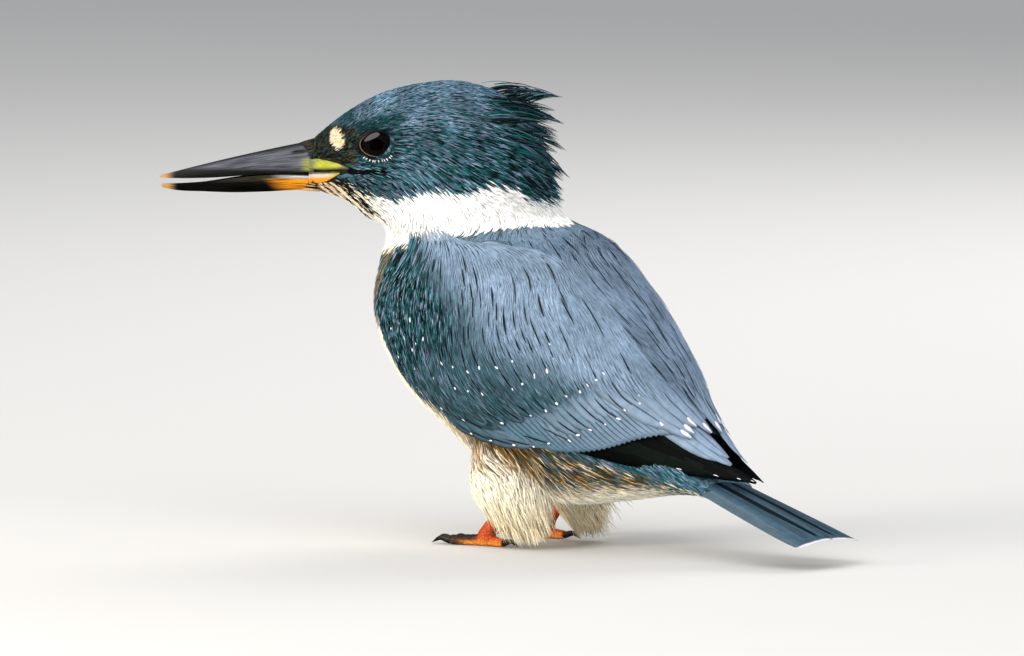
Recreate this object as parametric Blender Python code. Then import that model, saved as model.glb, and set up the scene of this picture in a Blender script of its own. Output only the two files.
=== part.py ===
"""A life-size belted kingfisher that stands with its head turned over its left shoulder.

Metres, +Z up. The body faces -Y and its left side is +X, and the head is turned towards +X.
The flesh is one loft from the bill's root to the tail coverts, parted by thin cuts into head,
crest, neck and trunk. The folded wings are shells over the trunk that run on past it to their
tips. Sizes below are in millimetres and degrees, in a frame whose floor is z = 0, whose y is 0
between the feet and whose x is 0 on the body's own middle plane.
"""
import math
from collections import namedtuple

import bmesh
import bpy
import numpy as np

MM = 0.001
GAP = 0.3                    # clearance between neighbouring pieces
TAU = 2 * math.pi
AROUND = 24                  # points round a section of the flesh
HEAD_RINGS, NECK_RINGS, TRUNK_RINGS = 13, 4, 15  # sections that each piece of the flesh is made of
UPRIGHT = 0.05               # a path's sideways share below which it counts as upright
SHARPEST = math.radians(40)  # edges that turn more than this are drawn sharp
MERGED = 1e-7                # points closer than this, in metres, become one
HEAD_TURN = math.radians(38)  # the head's yaw from the body's heading
NECK_AT = (0.0, -22.0)       # where the upright axis that the head turns on meets the floor plan

# A section of the flesh. along is measured backwards from the neck axis on the head and is y on
# the trunk; height is z. turned is the share of the head's yaw that it has, and lean tips the
# top of an upright section backwards. wide, back and belly are its half width and its depths.
Section = namedtuple("Section", "along height turned lean wide back belly")

HEAD = [
    Section(-51.0, 124.6, 1, 0, 7.6, 8.6, 8.0),
    Section(-47.0, 125.6, 1, 2, 9.8, 11.4, 9.8),
    Section(-41.0, 127.4, 1, 6, 12.6, 15.2, 13.2),
    Section(-33.0, 129.0, 1, 13, 15.6, 20.0, 18.2),
    Section(-25.0, 129.0, 1, 23, 17.8, 24.9, 22.6),
    Section(-17.0, 126.8, 1, 36, 19.4, 31.4, 24.8),
    Section(-11.0, 121.4, 1, 52, 21.0, 36.0, 24.4),
    Section(-6.0, 114.0, 0.95, 68, 22.8, 34.6, 23.8),
]
TRUNK = [
    Section(-24.0, 105.0, 0.70, 80, 25.8, 33.2, 25.0),
    Section(-21.0, 98.0, 0.30, 76, 30.2, 36.6, 30.4),
    Section(-13.0, 88.0, 0.08, 67, 34.4, 40.0, 42.0),
    Section(-1.0, 76.0, 0, 57, 36.6, 40.2, 47.0),
    Section(13.0, 64.4, 0, 48, 36.6, 37.0, 44.2),
    Section(27.0, 53.6, 0, 40, 34.4, 33.5, 41.0),
    Section(41.0, 44.6, 0, 33, 30.0, 28.5, 36.0),
    Section(55.0, 36.8, 0, 27, 24.0, 21.0, 23.0),
    Section(69.0, 30.6, 0, 22, 18.6, 11.0, 12.0),
    Section(80.0, 25.8, 0, 20, 15.6, 5.0, 5.6),
    Section(88.0, 22.6, 0, 19.5, 13.6, 2.4, 2.8),
]


def head_point(along, aside, height):
    """A place given backwards from the neck axis, to the head's left and up."""
    backwards = np.array([-math.sin(HEAD_TURN), math.cos(HEAD_TURN), 0.0])
    leftwards = np.array([math.cos(HEAD_TURN), math.sin(HEAD_TURN), 0.0])
    return (np.array([*NECK_AT, 0.0]) + backwards * np.asarray(along, float)[..., None]
            + leftwards * np.asarray(aside, float)[..., None]
            + np.array([0, 0, 1.0]) * np.asarray(height, float)[..., None])


def splined(rows, knots, at):
    """A smooth curve through rows at the given knots, read at the parameters in at."""
    slope = np.gradient(rows, knots, axis=0)
    i = np.clip(np.searchsorted(knots, at, side="right") - 1, 0, len(knots) - 2)
    span = (knots[i + 1] - knots[i])[:, None]
    t = (at - knots[i])[:, None] / span
    return ((2 * t**3 - 3 * t**2 + 1) * rows[i] + (t**3 - 2 * t**2 + t) * slope[i] * span
            + (3 * t**2 - 2 * t**3) * rows[i + 1] + (t**3 - t**2) * slope[i + 1] * span)


class Flesh:
    """The loft through HEAD and TRUNK: s counts sections, and v goes round from the back (0)
    over the left side (pi/2) to the belly (pi)."""

    def __init__(self):
        rows = []
        for section in HEAD + TRUNK:
            turn = HEAD_TURN * section.turned
            lean = math.radians(section.lean)
            backwards = np.array([-math.sin(turn), math.cos(turn), 0.0])
            left = np.array([math.cos(turn), math.sin(turn), 0.0])
            top = math.cos(lean) * np.array([0, 0, 1.0]) + math.sin(lean) * backwards
            if section in HEAD:
                centre = head_point(section.along, 0.0, section.height)
            else:
                centre = np.array([NECK_AT[0], section.along, section.height])
            rows.append([*centre, *left, *top, section.wide, section.back, section.belly])
        self.rows = np.array(rows)
        self.knots = np.arange(len(rows), dtype=float)

    def frame(self, s):
        row = splined(self.rows, self.knots, s)
        left = row[:, 3:6] / np.linalg.norm(row[:, 3:6], axis=1, keepdims=True)
        top = row[:, 6:9] / np.linalg.norm(row[:, 6:9], axis=1, keepdims=True)
        return row[:, :3], left, top, row[:, 9:12]

    def points(self, s, v, out=0.0):
        """The surface at s and v, moved out from it by out."""
        s, v, out = (a.ravel() for a in np.broadcast_arrays(s, v, out))
        centre, left, top, radii = self.frame(s)
        deep = np.where(np.cos(v) > 0, radii[:, 1], radii[:, 2]) + out
        return (centre + left * ((radii[:, 0] + out) * np.sin(v))[:, None]
                + top * (deep * np.cos(v))[:, None])

    def rings(self, first, last, count, out=0.0):
        v = (np.arange(AROUND) + 0.5) * TAU / AROUND
        return np.array([self.points(s, v, out) for s in np.linspace(first, last, count)])


FLESH = Flesh()
HEAD_END = len(HEAD) - 0.42   # where the head ends and the neck begins, in sections
NECK_END = len(HEAD) + 0.9    # where the neck ends and the trunk begins
TRUNK_END = len(HEAD) + len(TRUNK) - 1.0


def material(name, colour, roughness, metallic=0.0):
    made = bpy.data.materials.get(name) or bpy.data.materials.new(name)
    made.use_nodes = True
    shader = made.node_tree.nodes["Principled BSDF"]
    shader.inputs["Base Color"].default_value = (*colour, 1.0)
    shader.inputs["Roughness"].default_value = roughness
    shader.inputs["Metallic"].default_value = metallic
    return made


def make(name, mesh, finish):
    mesh.materials.append(finish)
    mesh.shade_smooth()
    mesh.set_sharp_from_angle(angle=SHARPEST)
    made = bpy.data.objects.new(name, mesh)
    bpy.data.collections["kingfisher"].objects.link(made)
    return made


def loft_mesh(name, rings):
    """The closed solid through rings of equally many points, counted so that point i and its
    opposite number from the end face each other: each end is closed by strips between them."""
    rings = np.asarray(rings, float)
    count, around = rings.shape[:2]
    index = np.arange(count * around).reshape(count, around)
    a, b = index[:-1], index[1:]
    walls = np.stack([a, np.roll(a, -1, 1), np.roll(b, -1, 1), b], -1).reshape(-1, 4)
    i = np.arange(around // 2 - 1)
    j = around - 1 - i
    first = np.stack([index[0][i], index[0][j], index[0][j - 1], index[0][i + 1]], -1)
    last = np.stack([index[-1][i], index[-1][i + 1], index[-1][j - 1], index[-1][j]], -1)
    faces = np.concatenate([walls, first, last])
    mesh = bpy.data.meshes.new(name)
    mesh.from_pydata((rings.reshape(-1, 3) * MM).tolist(), [], faces.tolist())
    work = bmesh.new()
    work.from_mesh(mesh)
    bmesh.ops.remove_doubles(work, verts=work.verts, dist=MERGED)
    bmesh.ops.dissolve_degenerate(work, edges=work.edges, dist=MERGED)
    bmesh.ops.recalc_face_normals(work, faces=work.faces)
    work.to_mesh(mesh)
    work.free()
    return mesh


def tube_rings(path, radii, sides=8, flat=1.0, level=None):
    """Rings along a path, each square to it. flat is the ratio of height to width, and level is
    a floor that cuts the rings flat. Where the path runs upright, across is the x axis."""
    path = np.asarray(path, float)
    ahead = np.gradient(path, axis=0)
    ahead /= np.linalg.norm(ahead, axis=1, keepdims=True)
    across = np.cross(ahead, [0, 0, 1.0])
    short = np.linalg.norm(across, axis=1, keepdims=True)
    across = np.where(short > UPRIGHT, across / np.maximum(short, UPRIGHT), [1.0, 0, 0])
    up = np.cross(across, ahead)
    turn = (np.arange(sides) + 0.5) * TAU / sides
    radii = np.asarray(radii, float)[:, None, None]
    rings = (path[:, None] + across[:, None] * np.cos(turn)[:, None] * radii
             + up[:, None] * np.sin(turn)[:, None] * radii * flat)
    if level is not None:
        rings[..., 2] = np.maximum(rings[..., 2], level)
    return rings


def bend(points, count):
    """A smooth curve through a few points."""
    points = np.asarray(points, float)
    knots = np.arange(len(points), dtype=float)
    return splined(points, knots, np.linspace(0, knots[-1], count))


def solid(name, rings, finish):
    return make(name, loft_mesh(name, rings), finish)


def cutter(name, rings):
    """A hidden solid that Booleans use."""
    made = bpy.data.objects.new(name, loft_mesh(name, rings))
    made.hide_render = True
    made.display_type = "WIRE"
    bpy.data.collections["cutters"].objects.link(made)
    return made


def combine(target, other, operation):
    step = target.modifiers.new(operation.lower() + "_" + other.name, "BOOLEAN")
    step.operation = operation
    step.solver = "EXACT"
    step.object = other


# ---------------------------------------------------------------- head, crest, neck and trunk

FAR = 70.0                    # past the edge of anything on the head
CREST_TOP = (8.0, 153.0)      # along and height of the two ends of the cut in front of the crest
CREST_FOOT = (15.0, 108.0)
CREST_ROWS = (0.0, 6.5, 12.5)  # how far aside the rows of locks lie, and their locks
CREST_LOCKS = (8, 5, 4)
CREST_TIP = (31.8, 147.4)      # along and height of the topmost lock's tip
CREST_DROP = 34.0              # from the topmost tip down to the lowest
CREST_ROW_BACK, CREST_ROW_DOWN = 1.8, 3.6  # what each row aside is set back and down
CREST_SHORT = 3.4              # what every second lock is shorter by
CREST_DIP = (5, 42)            # degrees that the topmost lock points down, and what the lowest adds
CREST_RADII = [2.7, 2.5, 1.6, 0.3]
EYE_AT = (-30.2, 13.9, 133.6)  # along, aside and height of the left eye's centre
EYE_RADIUS = 5.0
EYE_DEPTH = 3.6                # its half thickness, from the head's side inwards


def half_space(name, clearance):
    """The space behind the crest's cut, moved back by the clearance."""
    top, foot = np.array(CREST_TOP), np.array(CREST_FOOT)
    down = (foot - top) / np.linalg.norm(foot - top)
    behind = np.array([-down[1], down[0]])
    reach = FAR
    corners = [top - down * reach, foot + down * 3.0]
    rings = []
    for aside in (-reach, reach):
        near = [c + behind * clearance for c in corners]
        far = [c + behind * reach for c in corners]
        outline = np.array([near[0], near[1], far[1], far[0]])
        rings.append(head_point(outline[:, 0], np.full(4, aside), outline[:, 1]))
    return cutter(name, rings)


def crest_locks():
    """Ragged locks that run off the crown and nape, in rows from the middle to the sides. Each
    row goes from the top of the head down to the nape, its locks alternately long and short."""
    rings = []
    for row in range(-2, 3):
        count = CREST_LOCKS[abs(row)]
        for k in range(count):
            t = (k + 0.5 * (abs(row) % 2)) / (count - 0.5)
            short = CREST_SHORT * ((k + row) % 2)
            dip = math.radians(CREST_DIP[0] + CREST_DIP[1] * t)
            back = CREST_TIP[0] - 1.2 * math.sin(math.pi * t) - CREST_ROW_BACK * abs(row) - short
            up = CREST_TIP[1] - CREST_DROP * t - CREST_ROW_DOWN * abs(row) * (1 - t)
            tip, heading = np.array([back, up]), np.array([math.cos(dip), -math.sin(dip)])
            path = bend([tip - heading * 17.0 - [0, 1.0], tip - heading * 8.0 + [0, 0.6], tip], 4)
            aside = CREST_ROWS[abs(row)] * np.sign(row) * np.linspace(0.9, 1.05, 4)
            along_up = head_point(path[:, 0], aside, path[:, 1])
            rings.append(tube_rings(along_up, CREST_RADII, 6, 0.8))
    return rings


def build_head(dark):
    head = solid("head", FLESH.rings(0.0, HEAD_END, HEAD_RINGS), dark)
    cut_end(head, HEAD_END, -1)
    combine(head, half_space("crest_cut_front", 0.0), "DIFFERENCE")
    for name, side in (("eye_left", 1), ("eye_right", -1)):
        socket = ball(name + "_socket", side, GAP, "cutters")
        socket.hide_render = True
        socket.display_type = "WIRE"
        combine(head, socket, "DIFFERENCE")
    crest = solid("crest", FLESH.rings(0.0, HEAD_END, HEAD_RINGS), dark)
    cut_end(crest, HEAD_END, -1)
    for number, rings in enumerate(crest_locks()):
        combine(crest, cutter(f"lock_{number:02d}", rings), "UNION")
    combine(crest, half_space("crest_cut_back", GAP), "INTERSECT")
    collar = cutter("neck_clearance", FLESH.rings(HEAD_END, NECK_END, NECK_RINGS, GAP))
    combine(crest, collar, "DIFFERENCE")


def cut_end(piece, s, way):
    """Moves the flat end that lies at s by half a gap, towards the piece's own side."""
    centre, left, top, _ = FLESH.frame(np.array([float(s)]))
    normal = np.cross(left[0], top[0])
    if np.dot(normal, FLESH.frame(np.array([s + 0.1]))[0][0] - centre[0]) < 0:
        normal = -normal
    for vertex in piece.data.vertices:
        offset = np.array(vertex.co) / MM - centre[0]
        if abs(np.dot(offset, normal)) < 1e-3:
            vertex.co = tuple(np.array(vertex.co) + normal * way * GAP / 2 * MM)


def ball(name, side, swell, group):
    """An eye, or with swell the socket for one: a ball flattened from the head's side."""
    mesh = bpy.data.meshes.new(name)
    work = bmesh.new()
    bmesh.ops.create_uvsphere(work, u_segments=14, v_segments=9, radius=1.0)
    for vertex in work.verts:
        across, aside, up = vertex.co
        along = EYE_AT[0] + across * (EYE_RADIUS + swell)
        aside = side * (EYE_AT[1] + aside * (EYE_DEPTH + swell))
        vertex.co = tuple(head_point(along, aside, EYE_AT[2] + up * (EYE_RADIUS + swell)) * MM)
    work.normal_update()
    bmesh.ops.recalc_face_normals(work, faces=work.faces)
    work.to_mesh(mesh)
    work.free()
    made = bpy.data.objects.new(name, mesh)
    bpy.data.collections[group].objects.link(made)
    return made


def build_eyes(finish):
    for name, side in (("eye_left", 1), ("eye_right", -1)):
        eye = ball(name, side, 0.0, "kingfisher")
        eye.data.materials.append(finish)
        eye.data.shade_smooth()


def build_neck_and_trunk(white, slate):
    neck = solid("neck", FLESH.rings(HEAD_END, NECK_END, NECK_RINGS), white)
    cut_end(neck, HEAD_END, 1)
    cut_end(neck, NECK_END, -1)
    trunk = solid("trunk", FLESH.rings(NECK_END, TRUNK_END, TRUNK_RINGS), slate)
    cut_end(trunk, NECK_END, 1)
    cut_end(trunk, TRUNK_END, -1)


# ---------------------------------------------------------------- bill

# along, height of the cutting edge, half width and depth from that edge
UPPER_BILL = [(-101.9, 120.6, 0.45, 0.6), (-99.0, 120.5, 1.0, 1.5), (-87.0, 120.6, 2.3, 4.5),
              (-68.0, 121.9, 4.3, 7.6), (-56.0, 122.2, 6.2, 9.8), (-51.0 - GAP, 122.3, 7.0, 10.6)]
LOWER_BILL = [(-101.4, 118.4, 0.45, 1.0), (-98.0, 118.5, 1.0, 1.9), (-87.0, 119.1, 2.2, 3.2),
              (-78.0, 120.4, 3.2, 4.8), (-68.0, 121.6, 4.2, 5.8), (-51.0 - GAP, 122.0, 6.8, 5.4)]

BILL_ROUND = 1.25             # power that makes a mandible's back a little keeled
BILL_CUT = 0.05               # how much its flat side bulges, as a share of its depth


def mandible(rows, way, count=12, around=16):
    """A horn sheath, flat at its cutting edges and round away from them. way is 1 for the upper
    one, which rises from its edge, and -1 for the lower one."""
    rows = np.array(rows)
    along, edge, wide, deep = splined(rows, rows[:, 0], np.linspace(*rows[[0, -1], 0], count)).T
    turn = (np.arange(around) + 0.5) * TAU / around
    up = np.cos(turn)
    shape = np.where(up > 0, np.abs(up) ** BILL_ROUND, BILL_CUT * np.abs(up))
    aside = wide[:, None] * np.sin(turn)
    height = edge[:, None] + way * deep[:, None] * shape
    return head_point(np.broadcast_to(along[:, None], aside.shape), aside, height)


def build_bill(horn):
    solid("bill_upper", mandible(UPPER_BILL, 1), horn)
    solid("bill_lower", mandible(LOWER_BILL, -1), horn)


# ---------------------------------------------------------------- wings and tail

# y, z, lean, half width, back and belly of the folded wings' outer surface
ROOF = [(-21.0, 98.0, 76, 31.8, 38.0, 31.6), (-13.0, 88.0, 67, 37.0, 42.4, 43.6),
        (-1.0, 76.0, 57, 39.4, 42.8, 49.0), (13.0, 64.4, 48, 39.4, 40.4, 46.0),
        (27.0, 53.6, 40, 37.8, 37.6, 44.5), (40.0, 45.0, 35, 34.6, 33.4, 38.0),
        (52.0, 39.0, 33, 29.8, 27.5, 27.0), (63.0, 35.0, 31, 23.4, 20.4, 19.0),
        (75.0, 31.5, 30, 16.8, 13.6, 13.0), (86.0, 28.6, 28, 10.6, 8.2, 8.0),
        (95.0, 26.4, 27, 6.0, 5.0, 4.6), (101.5, 25.0, 26, 2.8, 2.4, 2.2)]
# the same rows' upper and lower edges, degrees round from the back, and their thickness
WING_EDGES = [(50, 105, 1.2), (22, 122, 4.5), (8, 128, 5.5), (5, 132, 5.5), (4, 120, 5.5),
              (4, 108, 5.0), (4, 102, 4.0), (4, 98, 3.2), (4, 95, 2.6), (5, 93, 2.0),
              (8, 92, 1.3), (12, 90, 0.7)]
TAIL_AT = (88.0, 22.6)        # y and z where the tail leaves its coverts
TAIL_TIP = (131.0, 7.2)
TAIL_LEAN = math.tan(math.radians(TRUNK[-1].lean))  # its sections lean as the coverts' end does
TAIL_WIDE = (14.5, 17.8)      # half widths at its two ends
TAIL_FEATHERS = 12
TAIL_NOTCH = 1.4              # how far each feather's rounded tip stands out
TAIL_CORNERS = 2.2            # how far the outermost feathers stop short
TAIL_ARCH = 1.2
TAIL_THICK = (1.5, 0.8)       # at its two ends
WING_EDGE = 0.6               # the wings' thickness along their edges


def wing_rings(side, count=18, across=11):
    """The wing's sections: an arc of the roof, and a second arc inside it by the thickness."""
    roof, edges = np.array(ROOF, float), np.array(WING_EDGES, float)
    knots = np.arange(len(roof), dtype=float)
    at = np.linspace(0, knots[-1], count)
    y, z, lean, wide, back, belly = splined(roof, knots, at).T[:, :, None]
    first, last, thick = splined(edges, knots, at).T[:, :, None]
    share = np.linspace(0, 1, across)
    v = np.radians(first + (last - first) * share)
    edge = 1 - np.abs(2 * share - 1) ** 6
    rings = []
    for inward in (0.0, 1.0):
        depth = inward * (WING_EDGE + (thick - WING_EDGE) * edge)
        deep = np.where(np.cos(v) > 0, back, belly) - depth
        x = (wide - depth) * np.sin(v) + GAP
        rise = deep * np.cos(v)
        rings.append(np.stack([side * x, y + np.sin(np.radians(lean)) * rise,
                               z + np.cos(np.radians(lean)) * rise], -1))
    return np.concatenate([rings[0], rings[1][:, ::-1]], 1)


def build_wings(slate):
    body = cutter("trunk_clearance", FLESH.rings(NECK_END, TRUNK_END, TRUNK_RINGS, GAP))
    for name, side in (("wing_left", 1), ("wing_right", -1)):
        wing = solid(name, wing_rings(side), slate)
        combine(wing, body, "DIFFERENCE")


def build_tail(slate):
    """Twelve broad feathers in one flat fan, a little arched, each with a rounded tip."""
    across = TAIL_FEATHERS * 3 + 1
    share = np.linspace(-1, 1, across)
    tips = np.abs(np.sin(np.linspace(0, TAIL_FEATHERS * math.pi, across))) * TAIL_NOTCH
    tips = tips - TAIL_CORNERS * share ** 4
    rings = []
    for t in (0.0, 0.35, 0.7, 0.93, 1.0):
        y = TAIL_AT[0] + GAP + (TAIL_TIP[0] - TAIL_NOTCH - TAIL_AT[0]) * t + tips * t ** 6
        z = TAIL_AT[1] + (TAIL_TIP[1] - TAIL_AT[1]) * (y - TAIL_AT[0]) / (TAIL_TIP[0] - TAIL_AT[0])
        half = TAIL_WIDE[0] + (TAIL_WIDE[1] - TAIL_WIDE[0]) * t
        half = half - t ** 12
        arch = TAIL_ARCH * (1 - share ** 2)
        thick = TAIL_THICK[0] + (TAIL_THICK[1] - TAIL_THICK[0]) * t
        thick = thick * (1 - 0.55 * share ** 4)
        faces = []
        for rise in (arch + thick / 2, arch - thick / 2):
            faces.append(np.stack([half * share, y + rise * TAIL_LEAN, z + rise], -1))
        rings.append(np.concatenate([faces[0], faces[1][::-1]]))
    solid("tail", rings, slate)


# ---------------------------------------------------------------- legs

ANKLE = (16.0, -0.5, 4.0)     # left side; the right one is its mirror
SHANK = [(14.5, 11.0, 25.0), (15.6, 6.5, 14.0), ANKLE]
THIGH = [(15.0, 6.0, 40.0), (17.4, 10.0, 25.0), (15.6, 14.5, 12.5), (12.5, 18.5, 2.6)]
THIGH_RADII = [11.0, 11.6, 7.4, 1.2]
THIGH_FLAT = 1.3              # how much deeper than wide a thigh is
SHANK_RADII = [2.6, 2.4, 2.2, 2.2, 2.3, 2.5]
CLAW_RADII = [1.25, 1.15, 0.9, 0.6, 0.25]
# heading from straight ahead, degrees outwards, then length, root and end radius of each toe
TOES = [("inner", -15, 11.5, 1.9, 1.5), ("middle", 2, 14.5, 2.1, 1.5), ("outer", 17, 13.0, 1.9, 1.4),
        ("hind", 176, 7.5, 2.0, 1.5)]
CLAW_LENGTH = 6.2
PAD_RADIUS, PAD_HEIGHT = 3.3, 6.2
PAD_CENTRE, PAD_REACH = 2.6, 3.8  # height of its widest ring, and from there to its pole


def toe_path(heading, length, radii):
    """A toe's middle line, low enough for its underside to be cut flat by the floor."""
    turn = math.radians(heading)
    ahead = np.array([math.sin(turn), -math.cos(turn), 0.0])
    start = np.array([ANKLE[0], ANKLE[1], 0.0])
    share = np.linspace(0, 1, len(radii))
    return start + ahead * (length * share)[:, None] + np.outer(radii, [0, 0, 0.8]), ahead


def ankle_pad(word, side):
    """The rounded pad where the toes and the shank meet."""
    lift = np.linspace(0.0, PAD_HEIGHT, 7)
    girth = PAD_RADIUS * np.sqrt(1 - ((lift - PAD_CENTRE) / PAD_REACH) ** 2)
    path = np.array([[ANKLE[0], ANKLE[1], z] for z in lift])
    return cutter("pad_" + word, mirrored(tube_rings(path, girth, 10), side))


def mirrored(rings, side):
    return np.asarray(rings) * np.array([side, 1.0, 1.0])


def build_legs(side, word, white, skin, claw):
    body = bpy.data.objects["trunk_clearance"]
    thigh_path = bend(THIGH, 9)
    radii = splined(np.array(THIGH_RADII)[:, None], np.arange(4.0), np.linspace(0, 3, 9))[:, 0]
    thigh = solid("thigh_" + word, mirrored(tube_rings(thigh_path, radii, 14, THIGH_FLAT), side), white)
    combine(thigh, body, "DIFFERENCE")
    swollen = cutter("thigh_clearance_" + word,
                     mirrored(tube_rings(thigh_path, radii + GAP, 14, THIGH_FLAT), side))
    shank = mirrored(tube_rings(bend(SHANK, 6), SHANK_RADII, 8, level=0.0), side)
    foot = solid("foot_" + word, shank, skin)
    combine(foot, ankle_pad(word, side), "UNION")
    for name, heading, length, thick, thin in TOES:
        radii = np.linspace(thick, thin, 5)
        path, ahead = toe_path(heading, length, radii)
        rings = tube_rings(path, radii, 8, level=0.0)
        combine(foot, cutter(f"toe_{name}_{word}", mirrored(rings, side)), "UNION")
        tip = path[-1] + ahead * (2 * GAP)
        hook = bend([tip, tip + ahead * CLAW_LENGTH * 0.55 + [0, 0, 0.5],
                     tip + ahead * CLAW_LENGTH + [0, 0, 0.35 - tip[2]]], 5)
        rings = tube_rings(hook, CLAW_RADII, 6, level=0.0)
        solid(f"claw_{name}_{word}", mirrored(rings, side), claw)
    combine(foot, swollen, "DIFFERENCE")
    combine(foot, body, "DIFFERENCE")


def stand_on_origin():
    """Moves everything so that the origin is under the middle of the model's box."""
    graph = bpy.context.evaluated_depsgraph_get()
    low, high = np.full(3, np.inf), np.full(3, -np.inf)
    for piece in bpy.data.collections["kingfisher"].objects:
        evaluated = piece.evaluated_get(graph)
        mesh = evaluated.to_mesh()
        place = np.empty(len(mesh.vertices) * 3, np.float32)
        mesh.vertices.foreach_get("co", place)
        evaluated.to_mesh_clear()
        low = np.minimum(low, place.reshape(-1, 3).min(0))
        high = np.maximum(high, place.reshape(-1, 3).max(0))
    shift = np.array([-(low[0] + high[0]) / 2, -(low[1] + high[1]) / 2, -low[2]])
    for piece in bpy.data.objects:
        piece.location = tuple(shift)


def main():
    for old in list(bpy.data.objects):
        bpy.data.objects.remove(old, do_unlink=True)
    for name in ("kingfisher", "cutters"):
        group = bpy.data.collections.new(name)
        bpy.context.scene.collection.children.link(group)
    slate = material("slate_feathers", (0.14, 0.21, 0.28), 0.75)
    dark = material("dark_feathers", (0.03, 0.09, 0.11), 0.7)
    white = material("white_feathers", (0.86, 0.83, 0.79), 0.8)
    horn = material("horn", (0.035, 0.035, 0.04), 0.35)
    eye = material("eye", (0.008, 0.006, 0.005), 0.05)
    skin = material("foot_skin", (0.5, 0.14, 0.04), 0.5)
    claw = material("claw", (0.02, 0.018, 0.018), 0.35)
    build_head(dark)
    build_neck_and_trunk(white, slate)
    build_bill(horn)
    build_eyes(eye)
    build_wings(slate)
    build_tail(slate)
    build_legs(1, "left", white, skin, claw)
    build_legs(-1, "right", white, skin, claw)
    stand_on_origin()


main()
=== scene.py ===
"""The looks of a life-size belted kingfisher: skin, plumage, bill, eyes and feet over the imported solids."""
import math

import bpy
import numpy as np
from bpy.props import FloatProperty, FloatVectorProperty, IntProperty, PointerProperty
from mathutils import Matrix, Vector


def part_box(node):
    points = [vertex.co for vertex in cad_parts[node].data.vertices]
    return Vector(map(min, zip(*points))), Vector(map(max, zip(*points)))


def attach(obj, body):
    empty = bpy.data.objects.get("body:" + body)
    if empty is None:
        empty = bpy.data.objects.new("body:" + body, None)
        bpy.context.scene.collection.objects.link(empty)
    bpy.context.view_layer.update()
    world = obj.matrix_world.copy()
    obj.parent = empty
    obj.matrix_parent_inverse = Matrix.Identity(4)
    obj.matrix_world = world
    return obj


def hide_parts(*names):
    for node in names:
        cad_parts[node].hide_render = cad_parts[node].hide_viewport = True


bl_info = {
    "name": "Belted Kingfisher",
    "version": (1, 0, 0),
    "blender": (4, 5, 0),
    "location": "View3D > Sidebar > Kingfisher",
    "description": "Skin, plumage, bill, eyes and feet of a life-size kingfisher, and its studio",
    "category": "Object",
}

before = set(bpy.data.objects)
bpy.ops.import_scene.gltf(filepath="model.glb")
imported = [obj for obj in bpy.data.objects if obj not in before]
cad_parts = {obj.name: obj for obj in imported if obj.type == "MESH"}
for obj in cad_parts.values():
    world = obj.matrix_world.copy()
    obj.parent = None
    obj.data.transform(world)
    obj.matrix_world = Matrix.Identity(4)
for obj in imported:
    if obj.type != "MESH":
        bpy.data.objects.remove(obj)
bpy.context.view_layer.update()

MM = 0.001
TAU = 2 * math.pi
BODY = "root"


# ---------------------------------------------------------------- the bird's form, in millimetres

HEAD_TURN = math.radians(38)
NECK_AT = np.array([0.0, -22.0])
BACKWARDS = np.array([-math.sin(HEAD_TURN), math.cos(HEAD_TURN), 0.0])
LEFTWARDS = np.array([math.cos(HEAD_TURN), math.sin(HEAD_TURN), 0.0])
UPWARDS = np.array([0.0, 0.0, 1.0])

# along, height, share of the head's yaw, lean in degrees, half width, depth of back and of belly
HEAD = [(-51, 124.6, 1, 0, 7.6, 8.6, 8.0), (-47, 125.6, 1, 2, 9.8, 11.4, 9.8),
        (-41, 127.4, 1, 6, 12.6, 15.2, 13.2), (-33, 129, 1, 13, 15.6, 20, 18.2),
        (-25, 129, 1, 23, 17.8, 24.9, 22.6), (-17, 126.8, 1, 36, 19.4, 31.4, 24.8),
        (-11, 121.4, 1, 52, 21, 36, 24.4), (-6, 114, 0.95, 68, 22.8, 34.6, 23.8)]
TRUNK = [(-24, 105, 0.70, 80, 25.8, 33.2, 25), (-21, 98, 0.30, 76, 30.2, 36.6, 30.4),
         (-13, 88, 0.08, 67, 34.4, 40, 42), (-1, 76, 0, 57, 36.6, 40.2, 47),
         (13, 64.4, 0, 48, 36.6, 37, 44.2), (27, 53.6, 0, 40, 34.4, 33.5, 41),
         (41, 44.6, 0, 33, 30, 28.5, 36), (55, 36.8, 0, 27, 24, 21, 23),
         (69, 30.6, 0, 22, 18.6, 11, 12), (80, 25.8, 0, 20, 15.6, 5, 5.6),
         (88, 22.6, 0, 19.5, 13.6, 2.4, 2.8)]
# y, z, lean, half width, back and belly of the folded wings' outer surface
ROOF = [(-21, 98, 76, 31.8, 38, 31.6), (-13, 88, 67, 37, 42.4, 43.6), (-1, 76, 57, 39.4, 42.8, 49),
        (13, 64.4, 48, 39.4, 40.4, 46), (27, 53.6, 40, 37.8, 37.6, 44.5), (40, 45, 35, 34.6, 33.4, 38),
        (52, 39, 33, 29.8, 27.5, 27), (63, 35, 31, 23.4, 20.4, 19), (75, 31.5, 30, 16.8, 13.6, 13),
        (86, 28.6, 28, 10.6, 8.2, 8), (95, 26.4, 27, 6, 5, 4.6), (101.5, 25, 26, 2.8, 2.4, 2.2)]
# the same rows' upper and lower edges, degrees round from the back, and the wing's thickness
WING_EDGES = [(50, 105, 1.2), (22, 122, 4.5), (8, 128, 5.5), (5, 132, 5.5), (4, 120, 5.5), (4, 108, 5),
              (4, 102, 4), (4, 98, 3.2), (4, 95, 2.6), (5, 93, 2), (8, 92, 1.3), (12, 90, 0.7)]
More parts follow.
